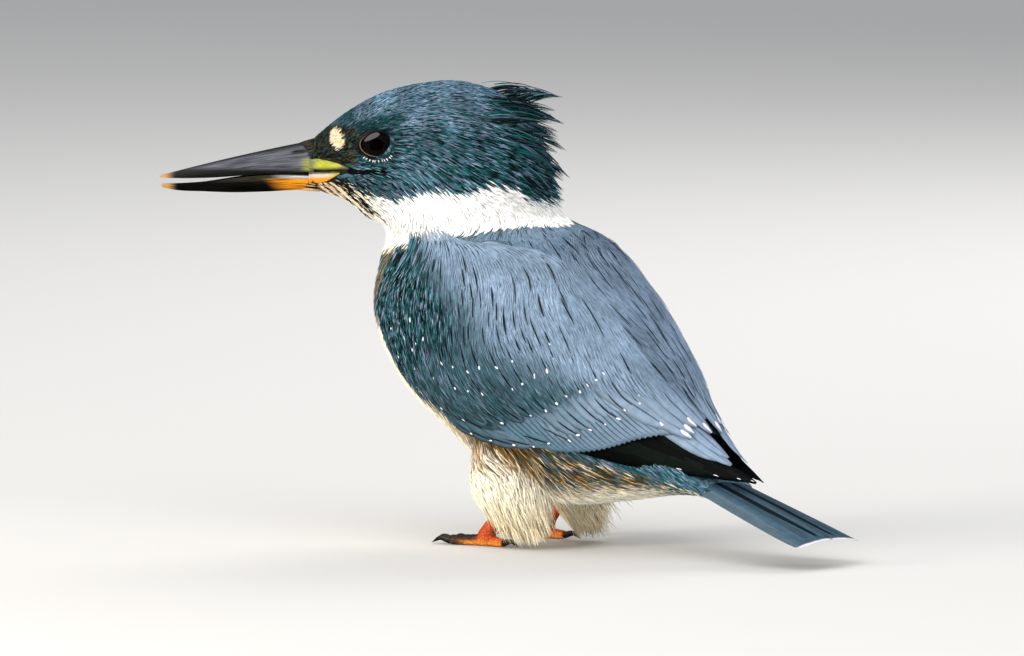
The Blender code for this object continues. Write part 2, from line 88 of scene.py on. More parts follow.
# along, height of the cutting edge, half width and depth from that edge
UPPER_BILL = [(-101.9, 120.6, 0.45, 0.6), (-99, 120.5, 1, 1.5), (-87, 120.6, 2.3, 4.5),
              (-68, 121.9, 4.3, 7.6), (-56, 122.2, 6.2, 9.8), (-51.3, 122.3, 7, 10.6)]
LOWER_BILL = [(-101.4, 118.4, 0.45, 1), (-98, 118.5, 1, 1.9), (-87, 119.1, 2.2, 3.2),
              (-78, 120.4, 3.2, 4.8), (-68, 121.6, 4.2, 5.8), (-51.3, 122, 6.8, 5.4)]
HORN_ROUND = 1.25   # both mandibles are rounded by the cosine to this power
EYE_AT = np.array([-30.2, 13.9, 133.6])  # along, aside and height of the left eye's centre
EYE_RADIUS, EYE_DEPTH, EYE_DOME = 5.0, 3.6, 3.05
EYE_SEEN = EYE_AT + np.array([0.6, 0.15, -0.6])   # the eyeball, a little behind and below the solid
EYE_LONG, EYE_TALL = 1.12, 0.94                   # the almond's stretch along the head and upwards
TAIL_AT, TAIL_TIP = (88.0, 22.6), (131.0, 7.2)    # y and z of the tail's root and tip
ANKLE = (16.0, -0.5, 4.0)
SHANK = [(14.5, 11, 25), (15.6, 6.5, 14), ANKLE]
THIGH = [(15, 6, 40), (17.4, 10, 25), (15.6, 14.5, 12.5), (12.5, 18.5, 2.6)]
THIGH_RADII = [11, 11.6, 7.4, 1.2]
THIGH_FLAT = 1.3
# heading from straight ahead in degrees outwards, length, root and end radius of each toe
TOES = {"inner": (-15, 11.5, 1.9, 1.5), "middle": (2, 14.5, 2.1, 1.5), "outer": (17, 13, 1.9, 1.4),
        "hind": (176, 7.5, 2, 1.5)}
CLAW_LENGTH = 6.2


def unit(a):
    """Each vector divided by its own length."""
    return a / np.maximum(np.linalg.norm(a, axis=-1, keepdims=True), 1e-12)


def dot(a, b):
    """The dot product of each pair of vectors, as a column."""
    return (a * b).sum(-1, keepdims=True)


def smooth(low, high, x):
    """0 below low, 1 above high, and between them 3t^2 - 2t^3."""
    t = np.clip((np.asarray(x, float) - low) / (high - low), 0, 1)
    return t * t * (3 - 2 * t)


def between(rows, x):
    """The second column of rows where the first is x, straight between its rows."""
    return np.interp(x, *np.array(rows, float).T)


def round_from_back(b):
    """How far b lies round from the back, whichever the side: from 0 to half a turn."""
    return np.abs((b + math.pi) % TAU - math.pi)


def head_point(along, aside, height):
    """The neck axis plus along times backwards, aside times leftwards and height times up."""
    return (np.array([*NECK_AT, 0.0]) + np.asarray(along, float)[..., None] * BACKWARDS
            + np.asarray(aside, float)[..., None] * LEFTWARDS
            + np.asarray(height, float)[..., None] * UPWARDS)


def in_head(points):
    """Along, aside and height of points in the head's own directions."""
    level = points - np.array([*NECK_AT, 0.0])
    return level @ BACKWARDS, level @ LEFTWARDS, points[..., 2]


def splined(rows, at, knots=None):
    """The cubic Hermite curve through rows, with the rows' own gradient as its slopes."""
    rows = np.asarray(rows, float)
    knots = np.arange(len(rows), dtype=float) if knots is None else np.asarray(knots, float)
    at = np.asarray(at, float)
    slope = np.gradient(rows, knots, axis=0)
    i = np.clip(np.searchsorted(knots, at.ravel(), side="right") - 1, 0, len(knots) - 2)
    span = (knots[i + 1] - knots[i])[:, None]
    t = (at.ravel() - knots[i])[:, None] / span
    made = ((2 * t**3 - 3 * t**2 + 1) * rows[i] + (t**3 - 2 * t**2 + t) * slope[i] * span
            + (3 * t**2 - 2 * t**3) * rows[i + 1] + (t**3 - t**2) * slope[i + 1] * span)
    return made.reshape(at.shape + (rows.shape[1],))


class Surface:
    """A surface points(a, b, out) of two parameters, where out lifts it off by millimetres. island
    is its rectangle (x, y, width, height) in the unwrap, low and high the span of a and b there."""
    NUDGE = 1e-3

    def tangents(self, a, b, out):
        """The point, its change with a and with b by central differences, and the unit normal."""
        e = self.NUDGE
        here = self.points(a, b, out)
        by_a = (self.points(a + e, b, out) - self.points(a - e, b, out)) / (2 * e)
        by_b = (self.points(a, b + e, out) - self.points(a, b - e, out)) / (2 * e)
        normal = unit(np.cross(by_a, by_b))
        normal = normal * np.where(dot(normal, self.points(a, b, out + 0.5) - here) < 0, -1.0, 1.0)
        return here, by_a, by_b, normal

    def unwrap(self, a, b):
        """The place of a and b in the unit square, by a straight scaling into the island."""
        x, y, width, height = self.island
        share_a = (np.asarray(a, float) - self.low[0]) / (self.high[0] - self.low[0])
        share_b = (np.asarray(b, float) - self.low[1]) / (self.high[1] - self.low[1])
        return np.stack([x + width * np.clip(share_b, 0, 1), y + height * np.clip(share_a, 0, 1)], -1)


class Flesh(Surface):
    """The loft through HEAD and TRUNK. a counts sections from the bill's root, and b goes round
    from the back (0) over the left side (a quarter turn) to the belly (half a turn)."""
    island, low, high = (0.01, 0.01, 0.56, 0.98), (0.0, -math.pi), (18.0, math.pi)

    def __init__(self):
        rows = []
        for number, (along, height, turned, lean, *radii) in enumerate(HEAD + TRUNK):
            turn, lean = HEAD_TURN * turned, math.radians(lean)
            backwards = np.array([-math.sin(turn), math.cos(turn), 0.0])
            left = np.array([math.cos(turn), math.sin(turn), 0.0])
            top = math.cos(lean) * UPWARDS + math.sin(lean) * backwards
            on_head = number < len(HEAD)
            centre = head_point(along, 0.0, height) if on_head else np.array([0.0, along, height])
            rows.append([*centre, *left, *top, *radii])
        self.rows = np.array(rows, float)

    def points(self, a, b, out=0.0):
        """Centre plus left times (width + out) sin b plus top times (depth + out) cos b."""
        a, b, out = np.broadcast_arrays(a, b, out)
        row = splined(self.rows, a)
        deep = np.where(np.cos(b) > 0, row[..., 10], row[..., 11]) + out
        return (row[..., :3] + unit(row[..., 3:6]) * ((row[..., 9] + out) * np.sin(b))[..., None]
                + unit(row[..., 6:9]) * (deep * np.cos(b))[..., None])


class Wing(Surface):
    """A folded wing's outer surface. a counts the rows of ROOF from the bend to the tip, and b goes
    from the edge by the middle of the back (0) to the lower edge (1)."""
    low, high = (0.0, 0.0), (11.0, 1.0)

    def __init__(self, side):
        self.side = side
        self.island = (0.59, 0.55 if side > 0 else 0.10, 0.40, 0.44)

    def points(self, a, b, out=0.0):
        """An arc of the roof's section: side times width sin v across, depth cos v along its top."""
        a, b, out = np.broadcast_arrays(a, b, out)
        y, z, lean, wide, back, belly = np.moveaxis(splined(ROOF, a), -1, 0)
        first, last, _ = np.moveaxis(splined(WING_EDGES, a), -1, 0)
        v = np.radians(first + (last - first) * b)
        rise = (np.where(np.cos(v) > 0, back, belly) + out) * np.cos(v)
        lean = np.radians(lean)
        return np.stack([self.side * ((wide + out) * np.sin(v) + 0.3), y + np.sin(lean) * rise,
                         z + np.cos(lean) * rise], -1)


class Thigh(Surface):
    """A feathered thigh. a runs down it from 0 to 3 and b goes round it."""
    low, high = (0.0, -math.pi), (3.0, math.pi)

    def __init__(self, side):
        self.side = side
        self.island = (0.59 if side > 0 else 0.80, 0.01, 0.19, 0.07)

    def points(self, a, b, out=0.0):
        """An oval round the middle line, square to it, whose radius follows THIGH_RADII."""
        a, b, out = np.broadcast_arrays(a, b, out)
        middle = splined(THIGH, a)
        ahead = unit(splined(THIGH, a + 0.01) - splined(THIGH, a - 0.01))
        across = unit(np.cross(ahead, UPWARDS + 0 * ahead))
        up = np.cross(across, ahead)
        radius = splined(np.array(THIGH_RADII)[:, None], a)[..., 0] + out
        made = (middle + across * (radius * np.cos(b))[..., None]
                + up * (radius * THIGH_FLAT * np.sin(b))[..., None])
        return made * np.array([self.side, 1.0, 1.0])


FLESH = Flesh()
WINGS = {"left": Wing(1), "right": Wing(-1)}
THIGHS = {"left": Thigh(1), "right": Thigh(-1)}
SIDES = {"left": 1, "right": -1}


def origin():
    """The bird's own origin in the frame, in millimetres, found from the left eye's solid."""
    low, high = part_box("eye_left")
    return (np.array(low) + np.array(high)) / 2 / MM - head_point(*EYE_AT)


ORIGIN = origin()


# ---------------------------------------------------------------- colours

def ink(red, green, blue):
    """A colour given as on a screen, from 0 to 255, in linear light."""
    c = np.array([red, green, blue]) / 255.0
    return np.where(c <= 0.04045, c / 12.92, ((c + 0.055) / 1.055) ** 2.4)


def blend(a, b, share):
    """From colour a to colour b by a share for each feather."""
    share = np.asarray(share, float)[..., None]
    return a * (1 - share) + b * share


BLACK, OLIVE = ink(10, 12, 13), ink(44, 42, 30)
GAPE_GREEN, GAPE_YELLOW, ORANGE = ink(178, 180, 48), ink(232, 206, 104), ink(230, 142, 0)
LIP_PALE = ink(186, 180, 178)
HORN_GREY, HORN_DARK, HORN_TIP = ink(78, 80, 88), ink(12, 11, 10), ink(214, 160, 92)


def plumage():
    """The plumage's colours as numpy rows, from the settings."""
    colours = bpy.context.scene.kingfisher_plumage
    return {name: np.array(getattr(colours, name)) for name in
            ("slate", "pale_slate", "teal", "dusk", "white", "cream", "rust")}


def drawn(rng, count, shares):
    """A random colour for each of count feathers, from pairs of colour and share (which may be
    an array of one share a feather)."""
    weights = np.stack([np.broadcast_to(np.asarray(w, float), (count,)) for _, w in shares])
    edges = np.cumsum(weights, axis=0) / weights.sum(axis=0)
    pick = (rng.random(count)[None] > edges).sum(axis=0).clip(0, len(shares) - 1)
    return np.array([c for c, _ in shares])[pick]


def line_gap(x, y, corners):
    """How far points lie from a line through corners in the plane."""
    corners = np.asarray(corners, float)
    gaps = []
    for (x0, y0), (x1, y1) in zip(corners[:-1], corners[1:]):
        span = (x1 - x0) ** 2 + (y1 - y0) ** 2
        t = np.clip(((x - x0) * (x1 - x0) + (y - y0) * (y1 - y0)) / span, 0, 1)
        gaps.append(np.hypot(x - x0 - t * (x1 - x0), y - y0 - t * (y1 - y0)))
    return np.min(gaps, axis=0)


# along and height, in the head's directions, of the lower edge of its dark cap
CAP_EDGE = [(-60, 122.5), (-51, 121.6), (-41.6, 119.6), (-37, 117.6), (-32.6, 115.5), (-23.1, 113.8),
            (-13.7, 117.0), (0, 116.4), (8, 119.6), (16.3, 118.4), (21.2, 114.8), (30, 113.4)]
# and of the dark streak beside the chin
MALAR = [(-41.6, 120.4), (-37.2, 115.3), (-31.6, 110.6), (-26.1, 106.7)]
LORE_SPOT = (-42.9, 134.3, 2.3, 3.2)   # along, height and the two half sizes
# and of the mouth's line
MOUTH = [(-51, 123.2), (-45, 123.2), (-39, 123.6), (-27.3, 123.6)]
# degrees round from the back, and the section where the white collar ends there
COLLAR_EDGE = [(0, 9.4), (8, 9.35), (23, 9.08), (42, 8.65), (60, 8.5), (94, 8.36), (120, 8.42), (180, 8.7)]


def clumps(place, size, seed):
    """A soft pattern from -1 to 1 by place: the mean of waves of about this size in millimetres
    that run different ways."""
    rng = np.random.default_rng(seed)
    ways = unit(rng.standard_normal((7, 3))) * (TAU / size) * rng.uniform(0.6, 1.5, (7, 1))
    return np.sin(place @ ways.T + rng.uniform(0, TAU, 7)).mean(-1) * 1.9


def eye_gap(along, height, longer=1.0):
    """How far from the eye's middle, where 5 is its outline: the almond's stretch is taken out."""
    return np.hypot((along - EYE_SEEN[0]) / (longer * EYE_LONG), (height - EYE_SEEN[2]) / EYE_TALL)


def head_tints(a, b, place, rng):
    """The colour of each feather of the head and collar by its place on it."""
    c = plumage()
    n = len(a)
    along, aside, height = in_head(place)
    crown = smooth(134, 143, height)
    rear = smooth(-12, 12, along) * (1 - crown)
    tint = drawn(rng, n, [(c["slate"], 0.38 + 0.16 * crown - 0.20 * rear),
                          (c["pale_slate"], 0.13 + 0.36 * crown - 0.03 * rear),
                          (c["teal"], 0.30 - 0.06 * crown + 0.08 * rear),
                          (c["dusk"], 0.22 - 0.03 * crown + 0.16 * rear)])
    tint = tint * (1 + 0.36 * clumps(place * [1, 1, 1.6], 15.0, 3))[:, None]
    # a dark line over the eye, then darker feathers close round it and behind it
    over_eye = np.exp(-((height - 140.3 - 0.22 * (along + 30)) / 2.0) ** 2)
    over_eye = over_eye * smooth(-45, -41, along) * smooth(-17, -24, along) * (rng.random(n) < 0.85)
    tint = blend(tint, blend(c["teal"] * 0.9, c["dusk"], rng.random(n) * 0.9), over_eye)
    near = (1 - smooth(6.0, 9.5, eye_gap(along, height))) * (rng.random(n) < 0.8)
    tint = blend(tint, blend(c["dusk"], c["teal"], rng.random(n) * 0.6), near)
    ear = np.exp(-((along - EYE_SEEN[0] - 10) / 7) ** 2 - ((height - EYE_SEEN[2] - 1) / 5) ** 2)
    tint = tint * (1 - 0.42 * ear)[:, None]
    # olive and black lores, and a greener brow above them
    lores = smooth(-34.5, -37.5, along) * smooth(124.5, 126.5, height) * smooth(139.5, 137.0, height)
    mixed = drawn(rng, n, [(c["dusk"], 0.25), (BLACK, 0.3), (OLIVE * 1.8, 0.32), (OLIVE * 3.6, 0.12),
                           (c["teal"], 0.10)])
    tint = blend(tint, mixed, lores)
    brow = smooth(-36, -38, along) * smooth(138.5, 140.5, height)
    tint = blend(tint, drawn(rng, n, [(c["teal"], 0.5), (c["dusk"], 0.5)]), brow * 0.8)
    # the pale spot before the eye
    x, z, wide, tall = LORE_SPOT
    spot = ((along - x) / wide) ** 2 + ((height - z + 0.25 * (along - x)) / tall) ** 2
    spot = (spot < 1.0 + 0.25 * rng.standard_normal(n)) & (np.abs(aside) > 4.5)
    tint = blend(tint, drawn(rng, n, [(ink(252, 238, 216), 0.6), (ink(236, 200, 146), 0.4)]), spot)
    # white below the cap, cream and golden towards the bill
    low = between(CAP_EDGE, along) - height + rng.standard_normal(n) * 0.8
    white = drawn(rng, n, [(c["white"] * 0.95, 1.0), (c["white"] * 0.86, 0.5)])
    chin = smooth(-26, -36, along)
    white = blend(white, c["cream"], chin * (0.3 + 0.7 * rng.random(n)))
    white = blend(white, ink(212, 150, 70), smooth(-37, -47, along) * rng.random(n) * 0.8)
    nape = round_from_back(b) < 0.3
    below = smooth(-0.3, 0.3, low) * np.where(nape & (along > 24), smooth(6.9, 7.2, a), 1.0)
    tint = blend(tint, white, below)
    # dark streaks beside the chin, and the line of the mouth
    far = line_gap(along, height, MALAR)
    streak = (far < 0.55 + 0.9 * smooth(-33, -41, along)) & (rng.random(n) < 0.72)
    across = (height + 0.9 * along - 0.1) / 2.3
    lined = (np.cos(across * TAU) > -0.05) & (far < 10) & (height < 121.5) & (along < -31)
    streak |= lined & (rng.random(n) < 0.72)
    tint = blend(tint, OLIVE * 0.6, streak)
    gape = (line_gap(along, height, MOUTH) < 0.8) & (rng.random(n) < 0.9)
    tint = blend(tint, BLACK, gape)
    return blend(tint, breast_tints(a, b, place, rng), below_collar(a, b, rng))


def below_collar(a, b, rng):
    """1 for a feather past the collar's lower edge."""
    edge = between(COLLAR_EDGE, np.degrees(round_from_back(b)))
    return smooth(-0.02, 0.02, a - edge + rng.standard_normal(len(a)) * 0.08)


def mottled(n, rear, rng):
    """Mixed dark, golden and pale feathers of the flanks, bluer by how far to the rear."""
    c = plumage()
    mixed = drawn(rng, n, [(c["rust"], 0.32 - 0.22 * rear), (OLIVE * 2.0, 0.30),
                           (c["teal"], 0.03 + 0.14 * rear),
                           (c["slate"], 0.02 + 0.20 * rear), (c["dusk"], 0.20),
                           (ink(226, 178, 104), 0.20 - 0.10 * rear), (c["cream"], 0.12)])
    return blend(mixed, ink(138, 110, 66), 0.45 * (1 - 0.6 * rear))


def breast_tints(a, b, place, rng):
    """The colour of each feather of breast, belly, flanks and vent by its place."""
    c = plumage()
    n = len(a)
    round_by = np.degrees(round_from_back(b))
    height = place[:, 2]
    belly = drawn(rng, n, [(ink(255, 250, 240), 0.7), (ink(255, 240, 212), 0.8)])
    band = smooth(71, 74, height + rng.standard_normal(n) * 1.6)
    banded = drawn(rng, n, [(c["slate"], 0.3), (c["teal"], 0.22), (c["rust"], 0.34), (c["dusk"], 0.14)])
    tint = blend(belly, banded, band)
    side = smooth(150, 128, round_by + rng.standard_normal(n) * 5) * smooth(11.2, 12.0, a)
    rear = smooth(13.2, 14.2, a)
    tint = blend(tint, mottled(n, rear, rng), side * (1 - band))
    back = smooth(112, 104, round_by)
    streaked = drawn(rng, n, [(c["slate"], 0.5), (c["pale_slate"], 0.2), (c["teal"], 0.3)])
    tint = blend(tint, streaked, back)
    under = smooth(15.6, 16.6, a + rng.standard_normal(n) * 0.3) * (1 - back)
    return blend(tint, drawn(rng, n, [(c["slate"], 0.4), (c["teal"], 0.3), (c["cream"], 0.35)]), under)


# ---------------------------------------------------------------- laying feathers

PLANE_STEPS = 0.7548776662466927, 0.5698402909980532   # the golden-ratio sequence's, in the plane
AREA_GRID, ROW_SAMPLES = 160, 200


def scattered(surface, low, high, count, weight=None):
    """count evenly spread places on the part of a surface between two corners: the golden-ratio
    sequence in the plane, warped by the surface's area times a weight function of a and b."""
    grid = AREA_GRID
    grid_a, grid_b = np.meshgrid(np.linspace(low[0], high[0], grid), np.linspace(low[1], high[1], grid),
                                 indexing="ij")
    _, by_a, by_b, _ = surface.tangents(grid_a, grid_b, np.zeros_like(grid_a))
    area = np.linalg.norm(np.cross(by_a, by_b), axis=-1)
    if weight is not None:
        area = area * weight(grid_a, grid_b)
    rows = np.cumsum(area.sum(1))
    rows = np.concatenate([[0], rows / rows[-1]])
    columns = np.cumsum(area, axis=1)
    columns = np.concatenate([np.zeros((grid, 1)), columns / np.maximum(columns[:, -1:], 1e-12)], 1)
    k = np.arange(1, count + 1)
    one, two = ((0.5 + k * step) % 1 for step in PLANE_STEPS)
    at_a = np.interp(one, rows, np.linspace(low[0], high[0], grid + 1))
    i = np.clip(np.searchsorted(rows, one) - 1, 0, grid - 1)
    j = np.clip((columns[i] < two[:, None]).sum(1) - 1, 0, grid - 1)
    left, right = columns[i, j], columns[i, j + 1]
    at_b = low[1] + (high[1] - low[1]) * (j + (two - left) / np.maximum(right - left, 1e-12)) / grid
    return at_a, at_b


def in_rows(surface, low, high, apart_a, apart, rng):
    """Places in staggered rows across part of a surface: rows lie apart_a of a from each other, and
    places apart millimetres from each other in a row, all moved a little at random."""
    places = []
    for number, a in enumerate(np.arange(low[0], high[0], apart_a)):
        b = np.linspace(low[1], high[1], ROW_SAMPLES)
        line = surface.points(np.full(ROW_SAMPLES, a), b, 0.0)
        reach = np.append(0.0, np.cumsum(np.linalg.norm(np.diff(line, axis=0), axis=1)))
        at = np.arange(0.5 * (number % 2), reach[-1] / apart) * apart
        at = at + rng.uniform(-0.16, 0.16, len(at)) * apart
        moved = a + rng.uniform(-0.2, 0.2, len(at)) * apart_a
        places.append(np.stack([moved, np.interp(at, reach, b)], -1))
    return np.concatenate(places).T


def laid(surface, a, b, heading, length, steps, rise):
    """Middle lines of feathers that start at a and b and follow the surface. Each step goes the
    heading's way in the tangent plane, turned into steps of a and b by the two tangents. rise
    gives how far out the line lies at a share of its length. Returns points, normals and the
    places in a and b."""
    points, normals, places = [], [], []
    for k in range(steps + 1):
        here, by_a, by_b, normal = surface.tangents(a, b, rise(k / steps))
        points.append(here)
        normals.append(normal)
        places.append(np.stack([a, b], -1))
        way = heading(a, b, here, by_a, by_b)
        way = unit(way - normal * dot(way, normal))
        aa, ab, bb = dot(by_a, by_a), dot(by_a, by_b), dot(by_b, by_b)
        to_a, to_b = dot(by_a, way), dot(by_b, way)
        spread = np.maximum(aa * bb - ab * ab, 1e-9)
        a = a + (length / steps) * ((to_a * bb - to_b * ab) / spread)[:, 0]
        b = b + (length / steps) * ((to_b * aa - to_a * ab) / spread)[:, 0]
        a = np.clip(a, surface.low[0] - 0.3, surface.high[0] - 0.01)
    return np.array(points), np.array(normals), np.array(places)


# across and up, as shares of a feather's half width and thickness
LOCK_SECTION = np.array([(-1.0, 0.0), (0.0, 1.0), (1.0, 0.0)])
VANE_SECTION = np.array([(-1.0, 0.0), (-0.5, 0.72), (0.0, 1.0), (0.5, 0.72), (1.0, 0.0), (0.0, 0.45)])


def carried(line, normal, half, thick, section):
    """A section of (across, up) points carried along middle lines: across is scaled by the half
    width and up by the thickness at each step. Gives feathers x steps x points x 3."""
    ahead = unit(np.gradient(line, axis=0))
    across = unit(np.cross(ahead, normal))
    up = np.cross(across, ahead)
    spread = section[:, 0, None] * half[:, :, None, None]
    lift = section[:, 1, None] * thick[:, :, None, None]
    made = line[:, :, None] + across[:, :, None] * spread + up[:, :, None] * lift
    return made.transpose(1, 0, 2, 3)


class Coat:
    """Feathers of one kind of section, gathered and made into one mesh. points are feathers x
    steps x section x 3, tints feathers x steps x 3, marks feathers x 3 and roots feathers x 2."""
    PATCH = 0.003

    def __init__(self, section):
        self.section = section
        self.parts = []

    def add(self, points, tints, roots, marks=None):
        """Gathers feathers. Tints may be one a feather, and marks may be left out."""
        count, steps = points.shape[:2]
        if tints.ndim == 2:
            tints = np.broadcast_to(tints[:, None], (count, steps, 3))
        if marks is None:
            marks = np.zeros((count, 3))
        self.parts.append((points, tints, roots, np.broadcast_to(marks, (count, 3))))

    def make(self, name, material, slot):
        """One piece of them all: each feather is a tube round its section with a face at each end.
        On OFBake a feather keeps to a small patch round the place of its root."""
        points, tints, roots, marks = (np.concatenate([p[i] for p in self.parts]) for i in range(4))
        count, steps, around = points.shape[:3]
        index = np.arange(count * steps * around).reshape(count, steps, around)
        start, end = index[:, :-1], index[:, 1:]
        quads = np.stack([start, np.roll(start, -1, 2), np.roll(end, -1, 2), end], -1).reshape(-1, 4)
        caps = np.concatenate([index[:, 0, ::-1], index[:, -1]])
        x, y = np.meshgrid(self.section[:, 0] * 0.5 + 0.5, np.linspace(0, 1, steps))
        vane = np.broadcast_to(np.stack([x, y], -1), (count, steps, around, 2)).reshape(-1, 2)
        bake = roots[:, None, None] + (np.stack([x, y], -1) - 0.5) * self.PATCH
        flat = points.reshape(-1, 3)
        first = (steps - 1) * around
        if signed_volume(flat, quads[:first], caps[[0, count]], (0, steps * around)) < 0:
            quads, caps = quads[:, ::-1], caps[:, ::-1]
        mesh = mesh_of(name, flat, [quads, caps])
        point_colour(mesh, "Tint", np.broadcast_to(tints[:, :, None], points.shape).reshape(-1, 3))
        if marks.any():
            wide = np.broadcast_to(marks[:, None, None], points.shape).reshape(-1, 3)
            point_colour(mesh, "Marks", wide)
            corner_map(mesh, "Vane", vane)
        corner_map(mesh, "OFBake", bake.reshape(-1, 2))
        return piece_of(name, mesh, material)


def signed_volume(points, quads, caps, span):
    """Six times the volume inside the faces, by the sum of triple products from their centre."""
    centre = points[span[0]:span[1]].mean(0)
    total = 0.0
    for faces in (quads, caps):
        corners = points[faces] - centre
        for k in range(1, faces.shape[1] - 1):
            fan = np.cross(corners[:, k], corners[:, k + 1])
            total += (corners[:, 0] * fan).sum()
    return total


def mesh_of(name, points, groups):
    """A mesh from points in the bird's millimetres and groups of faces of like corner counts."""
    mesh = bpy.data.meshes.new(name)
    loops = np.concatenate([np.asarray(g).ravel() for g in groups]).astype(np.int32)
    sizes = np.concatenate([np.full(len(g), np.asarray(g).shape[1]) for g in groups])
    mesh.vertices.add(len(points))
    mesh.loops.add(len(loops))
    mesh.polygons.add(len(sizes))
    mesh.vertices.foreach_set("co", ((points + ORIGIN) * MM).astype(np.float32).ravel())
    mesh.loops.foreach_set("vertex_index", loops)
    mesh.polygons.foreach_set("loop_start", (np.cumsum(sizes) - sizes).astype(np.int32))
    mesh.update(calc_edges=True)
    mesh.polygons.foreach_set("use_smooth", np.ones(len(sizes), bool))
    return mesh


def corners_of(mesh):
    """The number of the vertex at each corner of the faces."""
    numbers = np.empty(len(mesh.loops), np.int32)
    mesh.loops.foreach_get("vertex_index", numbers)
    return numbers


def places_of(mesh):
    """A mesh's points in the bird's millimetres."""
    places = np.empty(len(mesh.vertices) * 3, np.float32)
    mesh.vertices.foreach_get("co", places)
    return places.reshape(-1, 3) / MM - ORIGIN


def point_colour(mesh, name, colours):
    """A colour attribute from one colour for each vertex, kept within 0 and 1."""
    layer = mesh.color_attributes.new(name, "FLOAT_COLOR", "POINT")
    four = np.concatenate([np.clip(colours, 0, 1), np.ones((len(colours), 1))], 1)
    layer.data.foreach_set("color", four.astype(np.float32).ravel())


def corner_map(mesh, name, places):
    """A UV map from a place for each vertex, or for each corner where there are as many."""
    layer = mesh.uv_layers.new(name=name)
    corners = places if len(places) == len(mesh.loops) else places[corners_of(mesh)]
    layer.data.foreach_set("uv", corners.astype(np.float32).ravel())


def piece_of(name, mesh, material, replaced=()):
    """The mesh as a piece of the bird, riding on its one body."""
    mesh.materials.append(material)
    piece = bpy.data.objects.new(name, mesh)
    bpy.context.scene.collection.objects.link(piece)
    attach(piece, BODY)
    if replaced:
        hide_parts(*replaced)
    return piece


def remeshed(piece, voxel):
    """Gives the piece one closed mesh instead of its shells, by a voxel remesh."""
    shells = piece.data
    step = piece.modifiers.new("one_skin", "REMESH")
    step.mode, step.voxel_size = "VOXEL", voxel
    graph = bpy.context.evaluated_depsgraph_get()
    made = bpy.data.meshes.new_from_object(piece.evaluated_get(graph))
    piece.modifiers.clear()
    piece.data = made
    bpy.data.meshes.remove(shells)
    made.name = piece.name
    made.polygons.foreach_set("use_smooth", np.ones(len(made.polygons), bool))
    return made


def shaped(widths, steps):
    """Half widths at each step along a feather, straight between those given."""
    knots = np.linspace(0, 1, len(widths))
    return np.interp(np.linspace(0, 1, steps + 1), knots, widths)[:, None]


# half widths along a feather, as shares of its greatest
LOCK_SHAPE = (0.55, 1.0, 0.92, 0.62, 0.06)
STRAND_SHAPE = (0.7, 1.0, 0.95, 0.85, 0.62, 0.35, 0.05)
SHAFT_SHAPE = (0.3, 0.8, 1.0, 0.9, 0.4)
VANE_SHAPE = (0.30, 0.80, 0.98, 1.0, 0.97, 0.82, 0.30)
FLIGHT_SHAPE = (0.55, 0.85, 1.0, 1.0, 1.0, 1.0, 0.98, 0.95, 0.86, 0.62, 0.22)
TAIL_SHAPE = (0.5, 0.6, 0.7, 0.8, 0.86, 0.91, 0.95, 0.98, 1.0, 1.0, 1.0, 0.98, 0.80)


# ---------------------------------------------------------------- finishes

class Value:
    """A socket of a material that takes Python's operators: each one adds a Math node."""

    def __init__(self, finish, socket):
        self.finish, self.socket = finish, socket

    def math(self, operation, *others):
        sockets = dict(enumerate((self, *others)))
        return self.finish.node("ShaderNodeMath", {"operation": operation}, sockets)[0]

    def __add__(self, other):
        return self.math("ADD", other)

    def __sub__(self, other):
        return self.math("SUBTRACT", other)

    def __rsub__(self, other):
        return (self * -1) + other

    def __mul__(self, other):
        return self.math("MULTIPLY", other)

    def __truediv__(self, other):
        return self.math("DIVIDE", other)

    __radd__, __rmul__ = __add__, __mul__

    def smooth(self, low, high):
        """0 at low and 1 at high, smoothly between."""
        settings = {"interpolation_type": "SMOOTHSTEP", "clamp": True}
        sockets = {"Value": self, "From Min": low, "From Max": high, "To Min": 0.0, "To Max": 1.0}
        return self.finish.node("ShaderNodeMapRange", settings, sockets)[0]


